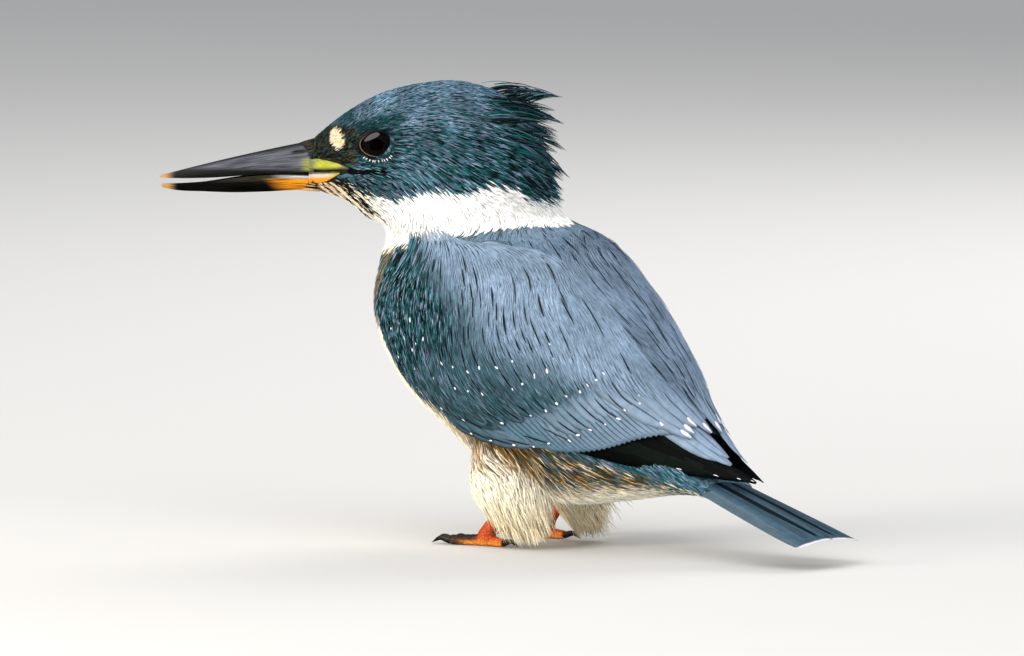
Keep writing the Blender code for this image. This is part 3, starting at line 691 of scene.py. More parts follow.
class Finish:
    """A procedural material. Constants go on its Principled shader's own sockets."""

    def __init__(self, name, **constants):
        self.material = bpy.data.materials.new(name)
        self.material.use_nodes = True
        self.tree = self.material.node_tree
        self.shader = self.tree.nodes["Principled BSDF"]
        for key, value in constants.items():
            name = key.replace("_", " ").title().replace("Ior", "IOR")
            self.shader.inputs[name].default_value = value

    def node(self, kind, settings=None, sockets=None):
        """Adds a node, sets its settings first, then gives its sockets values or links. Sockets
        go by identifier, name or number. Returns its outputs that are in use, as Values."""
        node = self.tree.nodes.new(kind)
        for key, value in (settings or {}).items():
            if key == "stops":
                for spare in range(len(value) - 2):
                    node.color_ramp.elements.new(0.5)
                for element, (at, colour) in zip(node.color_ramp.elements, value):
                    element.position, element.color = at, (*colour, 1.0)
            else:
                setattr(node, key, value)
        by_id = {s.identifier: s for s in node.inputs}
        for key, value in (sockets or {}).items():
            socket = by_id[key] if key in by_id else node.inputs[key]
            if isinstance(value, Value):
                self.tree.links.new(value.socket, socket)
            else:
                socket.default_value = value
        return [Value(self, s) for s in node.outputs if s.enabled]

    def mix(self, share, a, b, kind="MIX"):
        """Colour a towards colour b by the share."""
        rgba = [v if isinstance(v, Value) else (*v, 1.0) for v in (a, b)]
        return self.node("ShaderNodeMix", {"data_type": "RGBA", "blend_type": kind},
                         {"Factor_Float": share, "A_Color": rgba[0], "B_Color": rgba[1]})[0]

    def colour(self, name):
        return self.node("ShaderNodeAttribute", {"attribute_name": name})[0]

    def place(self):
        """Object coordinates."""
        return self.node("ShaderNodeTexCoord")[3]

    def tinted(self, shade):
        """The piece's own tint times a shade."""
        return self.node("ShaderNodeVectorMath", {"operation": "SCALE"},
                         {0: self.colour("Tint"), "Scale": shade})[0]

    def noise(self, scale, detail=3.0, stretch=None, place=None):
        """Noise in 0 to 1 on Object coordinates, stretched by a scale for each axis."""
        place = place or self.place()
        if stretch:
            place = self.node("ShaderNodeMapping", None, {"Vector": place, "Scale": stretch})[0]
        return self.node("ShaderNodeTexNoise", None,
                         {"Vector": place, "Scale": scale, "Detail": detail, "Roughness": 0.6})[0]

    def bump(self, height, strength, distance):
        made = self.node("ShaderNodeBump", None,
                         {"Height": height, "Strength": strength, "Distance": distance})[0]
        self.feed("Normal", made)

    def feed(self, name, value):
        self.tree.links.new(value.socket, self.shader.inputs[name])


def lock_finish(name, rough):
    """Fine feathers: their own tint, clouded a little at the scale of a few locks."""
    made = Finish(name, roughness=rough, specular_ior_level=0.22)
    cloud = made.noise(420.0, 4.0)
    made.feed("Base Color", made.tinted(cloud.smooth(0.25, 0.75) * 0.30 + 0.86))
    return made.material


def vane_finish(name, rough, stripe=(0.12, 0.04), begins=(0.42, 0.55), tip=2.0):
    """Feathers with a web: a dark shaft streak, fine barbs aslant from it, a paler rim and a white
    spot at the tip, each as strong as the feather's marks say. stripe is the streak's half width
    outside and inside, as shares of the web's, and begins where it starts along the feather. Past
    the share tip of its length the feather is white."""
    made = Finish(name, roughness=rough, specular_ior_level=0.16)
    place = made.node("ShaderNodeUVMap", {"uv_map": "Vane"})[0]
    x, y, _ = made.node("ShaderNodeSeparateXYZ", None, {0: place})
    marks = made.node("ShaderNodeSeparateColor", None, {0: made.colour("Marks")})
    aside = (x - 0.5).math("ABSOLUTE") * 2.0
    wander = made.noise(160.0, 2.0)
    streak = aside.smooth(*stripe) * y.smooth(*begins) * y.smooth(0.985, 0.93) * marks[0]
    rim = aside.smooth(0.55, 0.98) * marks[2]
    spot_x, spot_y = aside * 2.2, (y - 0.95) * 16.0
    spot = (spot_x * spot_x + spot_y * spot_y) / (marks[1] * marks[1] + 1e-4)
    spot = spot.smooth(1.0, 0.6)
    barbs = ((y * 34.0 - aside * 12.0 + wander * 2.0) * TAU).math("SINE")
    cloud = made.noise(330.0, 5.0)
    base = made.tinted(cloud.smooth(0.25, 0.75) * 0.30 + 0.84 + barbs * 0.05)
    base = made.mix(rim * 0.40, base, tuple(ink(168, 186, 200)))
    base = made.mix(streak * 0.92, base, tuple(ink(12, 18, 22)))
    base = made.mix(spot.math("MAXIMUM", y.smooth(tip, tip + 0.012)), base, tuple(ink(238, 234, 240)))
    made.feed("Base Color", base)
    made.bump(barbs * 0.5 + cloud, 0.35, 0.0002)
    return made.material


def skin_finish(name):
    """Skin between feather roots: the plumage's tint, darkened and pebbled."""
    made = Finish(name, roughness=0.85, specular_ior_level=0.2)
    pebble = made.node("ShaderNodeTexVoronoi", None, {"Vector": made.place(), "Scale": 700.0})[0]
    made.feed("Base Color", made.tinted(pebble * 0.2 + 0.75))
    made.bump(pebble, 0.4, 0.0003)
    return made.material


def horn_finish(name):
    """The bill's sheath: its own tint with fine lengthwise wear, darker and glossier in patches."""
    made = Finish(name, specular_ior_level=0.32, coat_roughness=0.3)
    grain_map = made.node("ShaderNodeUVMap", {"uv_map": "Grain"})[0]
    grain = made.noise(1.0, 6.0, (90.0, 5.0, 1.0), grain_map)
    patches = made.noise(140.0, 3.0)
    made.feed("Base Color", made.tinted(grain.smooth(0.34, 0.68) * 0.95 + 0.22 + patches * 0.25))
    made.feed("Roughness", patches.smooth(0.3, 0.8) * 0.18 + 0.30)
    made.bump(grain, 0.35, 0.0002)
    return made.material


def eye_finish(name):
    """A wet dark eye: a black pupil in a dark brown iris with fine spokes."""
    made = Finish(name, roughness=0.06, coat_roughness=0.02, specular_ior_level=0.95)
    place = made.node("ShaderNodeUVMap", {"uv_map": "Iris"})[0]
    out = made.node("ShaderNodeSeparateXYZ", None, {0: place})[1]
    spokes = made.noise(1.0, 4.0, (60.0, 3.0, 1.0), place)
    iris = made.mix(spokes.smooth(0.3, 0.7), tuple(ink(8, 6, 6)), tuple(ink(17, 12, 11)))
    base = made.mix(out.smooth(0.40, 0.46), tuple(ink(2, 2, 3)), iris)
    made.feed("Base Color", made.mix(out.smooth(0.82, 0.98), base, tuple(ink(8, 6, 6))))
    return made.material


def lid_finish(name):
    """Bare skin of lids and gape: its own tint with fine folds and pores."""
    made = Finish(name, roughness=0.5, specular_ior_level=0.4, subsurface_weight=0.05)
    folds = made.noise(1500.0, 4.0)
    made.feed("Base Color", made.tinted(folds * 0.5 + 0.75))
    made.bump(folds, 0.5, 0.0002)
    return made.material


def scale_finish(name):
    """Scaled foot skin: its own tint, with plates along the toes and dark seams between them."""
    made = Finish(name, specular_ior_level=0.5)
    plates = made.node("ShaderNodeTexVoronoi", {"feature": "DISTANCE_TO_EDGE"},
                       {"Vector": made.place(), "Scale": 900.0})[0]
    cloud = made.noise(300.0, 3.0)
    made.feed("Base Color", made.tinted(plates.smooth(0.0, 0.16) * 0.45 + 0.45 + cloud * 0.25))
    made.feed("Roughness", cloud * 0.25 + 0.32)
    made.bump(plates.smooth(0.0, 0.2), 0.6, 0.0003)
    return made.material


def claw_finish(name):
    """Black horn, a little browner and duller in streaks."""
    made = Finish(name, specular_ior_level=0.5)
    streaks = made.noise(260.0, 5.0, (1.0, 1.0, 3.0))
    made.feed("Base Color", made.mix(streaks.smooth(0.35, 0.75), tuple(ink(14, 13, 13)),
                                     tuple(ink(56, 47, 40))))
    made.feed("Roughness", streaks * 0.25 + 0.25)
    made.bump(streaks, 0.2, 0.0002)
    return made.material


FINISHES = {"fine_plumage": lambda name: lock_finish(name, 0.55),
            "soft_plumage": lambda name: lock_finish(name, 0.75),
            "webbed_plumage": lambda name: vane_finish(name, 0.5),
            "tail_plumage": lambda name: vane_finish(name, 0.5, (0.27, 0.21), (0.0, 0.15), 0.982),
            "skin_under_plumage": skin_finish, "horn_sheath": horn_finish, "eye_gloss": eye_finish,
            "lid_skin": lid_finish, "scaled_skin": scale_finish, "claw_horn": claw_finish}


def finish(name):
    """The finish of this name, made the first time that it is asked for."""
    return bpy.data.materials.get(name) or FINISHES[name](name)


# ---------------------------------------------------------------- skin

def closed_loft(rings):
    """Points and faces of a tube through rings, with a fan to the middle at both ends."""
    count, around = rings.shape[:2]
    index = np.arange(count * around).reshape(count, around)
    quads = np.stack([index[:-1], np.roll(index[:-1], -1, 1), np.roll(index[1:], -1, 1), index[1:]], -1)
    points = np.concatenate([rings.reshape(-1, 3), rings[0].mean(0)[None], rings[-1].mean(0)[None]])
    fans = []
    for ring, hub in ((index[0][::-1], count * around), (index[-1], count * around + 1)):
        fans.append(np.stack([ring, np.roll(ring, -1), np.full(around, hub)], -1))
    return points, quads.reshape(-1, 4), np.concatenate(fans)


def joined(name, shells):
    """One mesh from several shells of (points, quads, triangles), each turned to face outwards."""
    points, quads, fans, offset = [], [], [], 0
    for shell_points, shell_quads, shell_fans in shells:
        if signed_volume(shell_points, shell_quads, shell_fans, (0, len(shell_points))) < 0:
            shell_quads, shell_fans = shell_quads[:, ::-1], shell_fans[:, ::-1]
        points.append(shell_points)
        quads.append(shell_quads + offset)
        fans.append(shell_fans + offset)
        offset += len(shell_points)
    return mesh_of(name, np.concatenate(points), [np.concatenate(quads), np.concatenate(fans)])


def depth_of_coat(a):
    """How far the skin lies inside the solids, from the face to the breast and belly."""
    return np.interp(a, [0, 2, 5, 9, 12, 18], [0.35, 0.7, 1.2, 1.6, 1.8, 0.8])


def skin_shells():
    """The flesh, the two wings and the two thighs, each moved in by the depth of its coat."""
    a, b = np.meshgrid(np.linspace(0.02, 18, 150), np.linspace(0, TAU, 97)[:-1], indexing="ij")
    shells = [closed_loft(FLESH.points(a, b, -depth_of_coat(a)))]
    for wing in WINGS.values():
        a, b = np.meshgrid(np.linspace(0.2, 8.0, 60), np.linspace(0.02, 0.97, 40), indexing="ij")
        thick = splined(WING_EDGES, a)[..., 2]
        outer, inner = wing.points(a, b, -2.4), wing.points(a, b, -np.maximum(thick, 3.2))
        shells.append(closed_loft(np.concatenate([outer, inner[:, ::-1]], 1)))
    for thigh in THIGHS.values():
        a, b = np.meshgrid(np.linspace(0, 2.6, 30), np.linspace(0, TAU, 33)[:-1], indexing="ij")
        shells.append(closed_loft(thigh.points(a, b, -1.5)))
    return shells


def nearest(points, samples):
    """For each point the number of the nearest sample, by |q|^2 - 2 p.q in blocks of rows."""
    samples = samples.astype(np.float32)
    square = (samples ** 2).sum(1)
    found = [np.argmin(square - 2 * block.astype(np.float32) @ samples.T, axis=1)
             for block in np.array_split(points, max(1, len(points) // 2000))]
    return np.concatenate(found)


SAMPLES = 110, 61       # how many of a and of b each surface is looked up at
MEAN_DEPTH = 1.4        # of the skin inside the solids


def make_skin():
    """One closed skin: the shells' union by a voxel remesh. Each face belongs to the surface it
    lies nearest to, whose parameters at its corners give its place on the unwrap."""
    plumes = bpy.context.scene.kingfisher_plumage
    flesh = "head", "crest", "neck", "trunk", "wing_left", "wing_right", "thigh_left", "thigh_right"
    mesh = joined("skin", skin_shells())
    skin = piece_of("skin", mesh, finish("skin_under_plumage"), flesh)
    made = remeshed(skin, plumes.skin_voxel)
    places = places_of(made)
    surfaces = [FLESH, *WINGS.values(), *THIGHS.values()]
    samples, params, owners = [], [], []
    for number, surface in enumerate(surfaces):
        a, b = np.meshgrid(np.linspace(surface.low[0], surface.high[0] - 1e-3, SAMPLES[0]),
                           np.linspace(surface.low[1], surface.high[1], SAMPLES[1]), indexing="ij")
        samples.append(surface.points(a, b, -MEAN_DEPTH).reshape(-1, 3))
        params.append(np.stack([a, b], -1).reshape(-1, 2))
        owners.append(np.full(a.size, number))
    owners = np.concatenate(owners)
    owner = owners[nearest(places, np.concatenate(samples))]
    by_surface = np.array([p[nearest(places, s)] for s, p in zip(samples, params)])
    corners = corners_of(made)
    totals = np.empty(len(made.polygons), np.int32)
    made.polygons.foreach_get("loop_total", totals)
    face = np.repeat(np.arange(len(totals)), totals)
    starts = np.cumsum(totals) - totals
    face_owner = owner[corners[starts]]
    spots = np.zeros((len(corners), 2))
    for number, surface in enumerate(surfaces):
        mine = face_owner[face] == number
        a, b = by_surface[number][corners].T
        round_first = b[starts][face]
        if surface.low[1] < 0:
            b = round_first + (b - round_first + math.pi) % TAU - math.pi
        spots[mine] = surface.unwrap(a, b)[mine]
    corner_map(made, "OFBake", spots)
    rng = np.random.default_rng(11)
    a, b = by_surface[0].T
    tint = head_tints(a, b, FLESH.points(a, b), rng)
    trunk = breast_tints(a, b, places, rng)
    tint[a > 8.6] = trunk[a > 8.6]
    tint[(owner == 1) | (owner == 2)] = plumage()["slate"] * 0.6    # the wings
    tint[owner > 2] = plumage()["cream"]                            # the thighs
    # dark round the corners of the mouth, where the skin lies bare
    along, _, height = in_head(places)
    mouth = smooth(1.3, 0.9, np.hypot((along + 46) / 7.5, (height - 123.6) / 4.0)) * (a < 4)
    point_colour(made, "Tint", blend(tint, OLIVE * 0.8, mouth))


# ---------------------------------------------------------------- coats of locks

def away_from_eye(line, margin):
    """Whether no point of a feather's line comes within the margin of either eye's outline."""
    along, aside, height = in_head(line)
    gap = eye_gap(along, height, 1.04)
    return ((gap > margin) | (np.abs(aside) < 6)).all(axis=0)


def bare_of_feathers(a, place):
    """The gape, which feathers leave bare."""
    along, _, height = in_head(place)
    patch = np.hypot((along + 46) / 6.6, (height - 124.9 + 0.12 * (along + 46)) / 2.9) < 1
    lip = (along < -43.5) & (height < 122.8) & (height > 119.2)
    return (a < 4) & (patch | lip)


def head_heading(a, b, here, by_a, by_b):
    """Backwards along the flesh, turning down towards the nape by the height on the head."""
    along, _, height = in_head(here)
    dip = np.radians(np.interp(height, [106, 118, 132, 144, 150], [58, 36, 14, 6, 6]))
    straight = np.cos(dip)[:, None] * BACKWARDS - np.sin(dip)[:, None] * UPWARDS
    share = smooth(-26, 2, along)[:, None] * 0.75 * smooth(8.6, 7.4, a)[:, None]
    return unit(by_a) * (1 - share) + straight * share


def head_fall(root):
    """The way a loose lock of the head points: backwards, and lower down the head more downwards."""
    _, aside, height = in_head(root)
    dip = np.radians(np.interp(height, [108, 118, 130, 145], [30, 26, 18, 5]))[:, None]
    out = (np.clip(aside / 22, -1, 1) * 0.16)[:, None]
    return unit(np.cos(dip) * BACKWARDS - np.sin(dip) * UPWARDS + out * LEFTWARDS)


def lock_coat(coat, surface, a, b, heading, length, width, tints, rng, lift=(-0.9, 0.1), steps=3,
              loose=None, fall=None, bow=0.0, keep=None, rib=0.38, shadow=0.5):
    """Adds locks that lie along a surface. tints gives their colours from the places of their
    outer thirds; shadow darkens the roots of dark ones. loose is the share by which tips leave
    the surface, the way that fall gives; bow bends each aside by a random amount."""
    low, high = lift
    spread = rng.standard_normal(len(a)) * 0.12
    line, normal, path = laid(surface, a, b, heading, length, steps,
                              lambda t: low + (high - low) * t + spread * t)
    t = np.linspace(0, 1, steps + 1)[:, None, None]
    if fall is not None:
        straight = line[:1] + fall(line[0]) * (np.asarray(length)[..., None] * t)
        share = np.asarray(loose, float).reshape(-1, 1) * t ** 1.4
        line = line * (1 - share) + straight * share
    if bow:
        across = unit(np.cross(np.gradient(line, axis=0), normal))
        line = line + across * (rng.standard_normal((len(a), 1)) * bow) * (t ** 2)
    good = np.ones(len(a), bool) if keep is None else keep(line)
    mid = max(1, round(0.66 * steps))
    tint = tints(path[mid, :, 0], path[mid, :, 1], line[mid])[good]
    line, normal = line[:, good], normal[:, good]
    half = shaped(LOCK_SHAPE, steps) * (np.broadcast_to(width, len(a))[good] / 2)
    points = carried(line, normal, half, half * rib * 2, LOCK_SECTION)
    # painted shade: dark locks are darker at their roots, where the locks over them lie, and every lock grows
    # a little lighter than its tint towards the tip
    pale = tint.mean(1)[:, None, None]
    deep = 1 - shadow * (1 - smooth(0.25, 0.7, pale))
    fade = deep + (1.08 - deep) * t[:, 0, 0][None, :, None]
    coat.add(points, tint[:, None] * fade, surface.unwrap(a, b)[good])


# sections of the flesh, and the length and width of the locks there, in millimetres
HEAD_KNOTS = [0, 1, 2, 3, 4.5, 6, 7.6, 9]
HEAD_LENGTHS = [1.3, 1.8, 2.4, 3.1, 4.6, 5.8, 6.6, 7.0]
HEAD_WIDTHS = [0.34, 0.38, 0.44, 0.50, 0.58, 0.66, 0.80, 0.9]


def head_density(a, b):
    """Locks stand as close as their size asks, and closest where they are smallest."""
    return 1 / (np.interp(a, HEAD_KNOTS, HEAD_LENGTHS) * np.interp(a, HEAD_KNOTS, HEAD_WIDTHS))


def make_head_coat():
    """Fine locks over head, throat and collar, smallest by the bill and the eyes."""
    plumes = bpy.context.scene.kingfisher_plumage
    quarters = {"face_left": (0.03, 4.3, 0.0, math.pi), "face_right": (0.03, 4.3, -math.pi, 0.0),
                "neck_left": (4.3, 9.4, 0.0, math.pi), "neck_right": (4.3, 9.4, -math.pi, 0.0)}
    for number, (word, (low_a, high_a, low_b, high_b)) in enumerate(quarters.items()):
        rng = np.random.default_rng(21 + number)
        coat = Coat(LOCK_SECTION)
        a, b = scattered(FLESH, (low_a, low_b), (high_a, high_b), plumes.head_locks, head_density)
        place = FLESH.points(a, b)
        good = ~bare_of_feathers(a, place) & (below_collar(a + 0.3, b, rng) < 0.5)
        a, b, place = a[good], b[good], place[good]
        scale = np.exp(rng.standard_normal(len(a)) * 0.16)
        rear = smooth(4.4, 6.6, a) * smooth(112, 118, place[:, 2])
        lock_coat(coat, FLESH, a, b, head_heading, np.interp(a, HEAD_KNOTS, HEAD_LENGTHS) * scale,
                  np.interp(a, HEAD_KNOTS, HEAD_WIDTHS),
                  lambda a, b, place: head_tints(a, b, place, rng), rng, lift=(-0.8, 0.1),
                  loose=0.6 * rear * rng.random(len(a)) ** 0.5, fall=head_fall, bow=0.18,
                  keep=lambda line: away_from_eye(line, 4.95))
        coat.make(f"plumage_{word}", finish("fine_plumage"), "slate_feathers")


BRISTLE_STEPS, CHIN_BRISTLES, LID_TICKS = 3, 420, 11


def lid_ticks(coat, rng):
    """Adds the row of tiny white feathers under each eye: they point away from it and lie on the
    flesh, whose distance aside is taken where its own grid comes nearest."""
    grid_a, grid_b = np.meshgrid(np.linspace(0.8, 4.5, 110), np.linspace(0.2, math.pi - 0.2, 110))
    along, aside, height = in_head(FLESH.points(grid_a.ravel(), grid_b.ravel()))
    count, steps = LID_TICKS, BRISTLE_STEPS
    turn = np.radians(np.linspace(-128, -40, count) + rng.normal(0, 1.5, count))
    reach = 5.55 + np.linspace(0, 1, steps + 1)[:, None] * (0.75 + 0.35 * rng.random(count))
    x = EYE_SEEN[0] + reach * np.cos(turn) * EYE_LONG
    z = EYE_SEEN[2] + reach * np.sin(turn) * EYE_TALL
    close = np.argmin((x[..., None] - along) ** 2 + (z[..., None] - height) ** 2, axis=-1)
    out = np.abs(aside[close]) + 0.5
    half = shaped(LOCK_SHAPE, steps) * (0.13 + 0.06 * rng.random(count))
    roots = FLESH.unwrap(grid_a.ravel()[close[0]], grid_b.ravel()[close[0]])
    for side in SIDES.values():
        line = head_point(x, side * out, z)
        normal = np.broadcast_to(side * LEFTWARDS, line.shape)
        coat.add(carried(line, normal, half, half * 0.6, LOCK_SECTION),
                 np.tile(plumage()["white"] * 0.95, (count, 1)), roots)


def over_horn(rows, way, turn, length, start, swell, rest):
    """Middle lines and normals of short feathers that run forward over a mandible, each round its
    own side of it. They stand off by rest at their tips and by swell more at their roots."""
    t = np.linspace(0, 1, BRISTLE_STEPS + 1)[:, None]
    along = start - length * t
    rows = np.array(rows)
    _, edge, wide, deep = splined(rows, along, rows[:, 0]).transpose(2, 0, 1)
    off = swell * (1 - t) + rest
    height = edge + way * (deep + off) * np.cos(turn) ** HORN_ROUND
    line = head_point(along, (wide + off) * np.sin(turn), height)
    normal = unit(np.sin(turn)[:, None] * LEFTWARDS + way * np.cos(turn)[:, None] * UPWARDS)
    return line, np.broadcast_to(normal, line.shape)


def chin_bristles(coat, rng):
    """Adds short feathers that run forward from the chin under the lower mandible, dark along
    its edges and pale between them."""
    n = CHIN_BRISTLES
    turn = rng.uniform(-1.25, 1.25, n)
    length = (2.4 + 3.8 * np.cos(turn) ** 2) * (0.3 + 0.7 * rng.random(n))
    line, normal = over_horn([*LOWER_BILL, (-46.0, 122.1, 7.6, 5.6)], -1, turn, length,
                             -48.6 - rng.random(n) * 1.4, 0.55, 0.05)
    half = shaped(LOCK_SHAPE, BRISTLE_STEPS) * (0.15 + 0.10 * rng.random(n))
    pale = drawn(rng, n, [(ink(236, 200, 150), 0.5), (ink(214, 160, 90), 0.5), (OLIVE * 1.5, 0.12)])
    dark = smooth(0.45, 0.6, np.abs(turn)) * (rng.random(n) < 0.85)
    tint = blend(pale, OLIVE * 0.5, dark)
    coat.add(carried(line, normal, half, half * 0.7, LOCK_SECTION), tint,
             FLESH.unwrap(np.full(n, 0.1), math.pi - turn))


def make_bristles():
    """Short feathers that run forward from the forehead on to the upper mandible, and with them
    those of the chin and the white ticks under the eyes."""
    c = plumage()
    rng = np.random.default_rng(35)
    n = bpy.context.scene.kingfisher_plumage.bristles
    turn = rng.uniform(-1.0, 1.0, n) ** 3 * 0.5 + rng.uniform(-1.15, 1.15, n) * 0.75
    length = (1.0 + 4.2 * np.cos(turn) ** 3) * (0.35 + 0.65 * rng.random(n))
    line, normal = over_horn([*UPPER_BILL, (-46.0, 122.4, 7.8, 11.6)], 1, turn, length,
                             -49.8 - rng.random(n) * 0.8, 0.5, 0.06)
    half = shaped(LOCK_SHAPE, BRISTLE_STEPS) * (0.14 + 0.10 * rng.random(n))
    tint = drawn(rng, n, [(OLIVE, 0.4), (OLIVE * 2.4, 0.3), (BLACK, 0.25), (c["dusk"], 0.15)])
    coat = Coat(LOCK_SECTION)
    coat.add(carried(line, normal, half, half * 0.7, LOCK_SECTION), tint,
             FLESH.unwrap(np.full(n, 0.1), turn))
    lid_ticks(coat, rng)
    chin_bristles(coat, rng)
    coat.make("plumage_bristles", finish("fine_plumage"), "dark_feathers")


# how far aside the rows of the crest's pointed locks lie, and how many locks each has
CREST_ROWS, CREST_LOCKS = (0.0, 6.5, 12.5), (8, 5, 4)


def crest_paths():
    """Tip, heading and offset aside of each pointed lock, from the crown down to the nape."""
    made = []
    for row in range(-2, 3):
        count = CREST_LOCKS[abs(row)]
        for k in range(count):
            t = (k + 0.5 * (abs(row) % 2)) / (count - 0.5)
            short = 0.0 if (k + row) % 2 == 0 else 2.8
            dip = math.radians(4 + 34 * t)
            made.append((32.6 - 0.6 * math.sin(math.pi * t) - 1.8 * abs(row) - short + 3.4 * t,
                         147.4 - 34.0 * t - 3.6 * abs(row) * (1 - t), dip,
                         CREST_ROWS[abs(row)] * np.sign(row)))
    return np.array(made)


def make_crest():
    """Long pointed strands in bundles that leave the crown and nape, each bundle gathering to its
    own tip: a strand's line is its bundle's middle line plus an offset that shrinks to the tip."""
    rng = np.random.default_rng(31)
    strands = bpy.context.scene.kingfisher_plumage.crest_strands
    bundles = crest_paths()
    bundles = np.concatenate([bundles, bundles + rng.standard_normal(bundles.shape)
                              * [1.0, 1.8, 0.07, 1.8] - [2.4, 0.5, 0, 0]])
    tip_along, tip_height, dip, aside = np.repeat(bundles, strands, axis=0).T
    n, steps = len(dip), 6
    t = np.linspace(0, 1, steps + 1)[:, None]
    length = 17.0 * (1 - 0.28 * rng.random(n))
    early = (rng.random(n) ** 1.3) * 12.0
    dip = dip + rng.standard_normal(n) * 0.06
    back = (t - 1) * length - early
    sag = 0.9 * np.sin(math.pi * t)
    along = tip_along + np.cos(dip) * back + np.sin(dip) * sag
    height = tip_height - np.sin(dip) * back + np.cos(dip) * sag * 0.9
    height = height - smooth(138, 147, tip_height) * 3.0 * (1 - t) ** 1.5
    ring, turn = np.sqrt(rng.random(n)) * 2.4, rng.random(n) * TAU
    gather = (1 - t ** 1.5) * 0.93 + 0.07
    along = along + np.sin(dip) * ring * np.sin(turn) * gather
    height = height + np.cos(dip) * ring * np.sin(turn) * gather
    beside = aside * (0.9 + 0.15 * t) + ring * np.cos(turn) * gather * 1.1
    line = head_point(along, beside, height)
    normal = unit(np.cos(turn)[:, None] * LEFTWARDS + np.sin(turn)[:, None] * UPWARDS)
    normal = np.broadcast_to(normal, line.shape)
    half = shaped(STRAND_SHAPE, steps) * (0.22 + 0.10 * rng.random(n))
    c = plumage()
    tint = drawn(rng, n, [(c["dusk"], 0.36), (c["teal"], 0.32), (c["slate"], 0.30), (BLACK, 0.10)])
    fade = np.linspace(1.0, 0.45, steps + 1)[None, :, None]
    coat = Coat(LOCK_SECTION)
    roots = FLESH.unwrap(np.full(n, 6.2) + ring * 0.2, np.clip(beside[0] / 22, -1, 1))
    coat.add(carried(line, normal, half, half * 0.8, LOCK_SECTION), tint[:, None] * fade, roots)
    coat.make("plumage_crest", finish("fine_plumage"), "dark_feathers")


def body_heading(a, b, here, by_a, by_b):
    """Backwards along the flesh and a little downwards."""
    return unit(by_a) - UPWARDS * 0.25


def thigh_fall(root):
    """Down and a little back and outwards."""
    out = np.sign(root[:, :1]) * np.array([[0.10, 0, 0]])
    return unit(out + np.array([0.0, 0.55, -1.0]))


# sections of the body, and the length and width of the locks there, in millimetres
BODY_KNOTS = [8.4, 9.5, 11, 13, 15, 16.5, 18]
BODY_LENGTHS = [5.5, 6.5, 7.5, 8.5, 9.5, 7.5, 6.0]
BODY_WIDTHS = [0.7, 0.85, 1.0, 1.05, 1.0, 1.0, 0.9]
# section of the body, and the degrees round from the back above which wings hide it
HIDDEN = [(8.3, 58), (9.2, 88), (10, 104), (11, 111), (12, 115), (13, 100), (14, 80), (15, 62), (18, 48)]


def body_density(a, b):
    """As the locks' size asks, and nothing where the wings lie over the body."""
    edge = between(HIDDEN, a)
    shown = smooth(edge - 3, edge, np.degrees(np.abs(b)))
    return shown / (np.interp(a, BODY_KNOTS, BODY_LENGTHS) * np.interp(a, BODY_KNOTS, BODY_WIDTHS))


def make_body_coats():
    """Softer, longer locks over breast, belly, flanks and vent, in two halves; those over the
    thighs hang loose and long."""
    plumes = bpy.context.scene.kingfisher_plumage
    sides = {"left": (math.radians(46), math.pi), "right": (-math.pi, -math.radians(46))}
    for number, (word, (low_b, high_b)) in enumerate(sides.items()):
        rng = np.random.default_rng(41 + number)
        coat = Coat(LOCK_SECTION)
        a, b = scattered(FLESH, (8.35, low_b), (17.7, high_b), plumes.body_locks, body_density)
        good = below_collar(a, b, rng) > 0.5
        a, b = a[good], b[good]
        skirt = smooth(11.2, 12.2, a) * smooth(14.6, 13.6, a) * smooth(158, 146, np.degrees(np.abs(b)))
        skirt = skirt * smooth(112, 120, np.degrees(np.abs(b)))
        scale = np.exp(rng.standard_normal(len(a)) * 0.2) * (1 + 0.7 * skirt)
        lock_coat(coat, FLESH, a, b, body_heading, np.interp(a, BODY_KNOTS, BODY_LENGTHS) * scale,
                  np.interp(a, BODY_KNOTS, BODY_WIDTHS) * (1 - 0.35 * skirt),
                  lambda a, b, place: breast_tints(a, b, place, rng), rng, lift=(-1.5, 0.05),
                  loose=0.55 * skirt * rng.random(len(a)), fall=thigh_fall, bow=0.6, rib=0.22,
                  shadow=0.2)
        coat.make(f"plumage_body_{word}", finish("soft_plumage"), "white_feathers")


def down_thigh(a, b, here, by_a, by_b):
    """Down the thigh."""
    return unit(by_a)


def make_thigh_coats():
    """Long soft plumes down both thighs, loose at their tips."""
    plumes = bpy.context.scene.kingfisher_plumage
    coat = Coat(LOCK_SECTION)
    for number, thigh in enumerate(THIGHS.values()):
        rng = np.random.default_rng(51 + number)
        a, b = scattered(thigh, (0.1, -math.pi), (2.3, math.pi), plumes.thigh_locks)
        length = 14.0 * np.exp(rng.standard_normal(len(a)) * 0.25)
        length = np.minimum(length, (3.05 - a) * 13.0)
        lock_coat(coat, thigh, a, b, down_thigh, length, 0.62 + 0.3 * rng.random(len(a)),
                  lambda a, b, place: thigh_tints(a, place, rng), rng, lift=(-1.3, 0.6),
                  loose=0.75 * rng.random(len(a)) ** 1.2, fall=thigh_fall, bow=1.1, rib=0.2,
                  shadow=0.1, keep=lambda line: line[-1, :, 2] > 0.6)
    coat.make("plumage_thighs", finish("soft_plumage"), "white_feathers")


def thigh_tints(a, place, rng):
    """White, cream to golden towards the foot, and mottled under the wing."""
    n = len(a)
    low = smooth(26, 6, place[:, 2])
    tint = blend(ink(255, 250, 240), ink(255, 235, 198), 0.35 + 0.6 * low * rng.random(n))
    tint = blend(tint, ink(252, 218, 160), low * 0.45 * rng.random(n))
    high = smooth(24, 31, place[:, 2] + 2.5 * rng.standard_normal(n))
    high = high * smooth(-13, -5, place[:, 1] + 2 * rng.standard_normal(n))
    return blend(tint, mottled(n, 0.0, rng), high)


# ---------------------------------------------------------------- webbed feathers

VANE_STEPS, FLIGHT_STEPS, TAIL_STEPS = 8, 14, 16


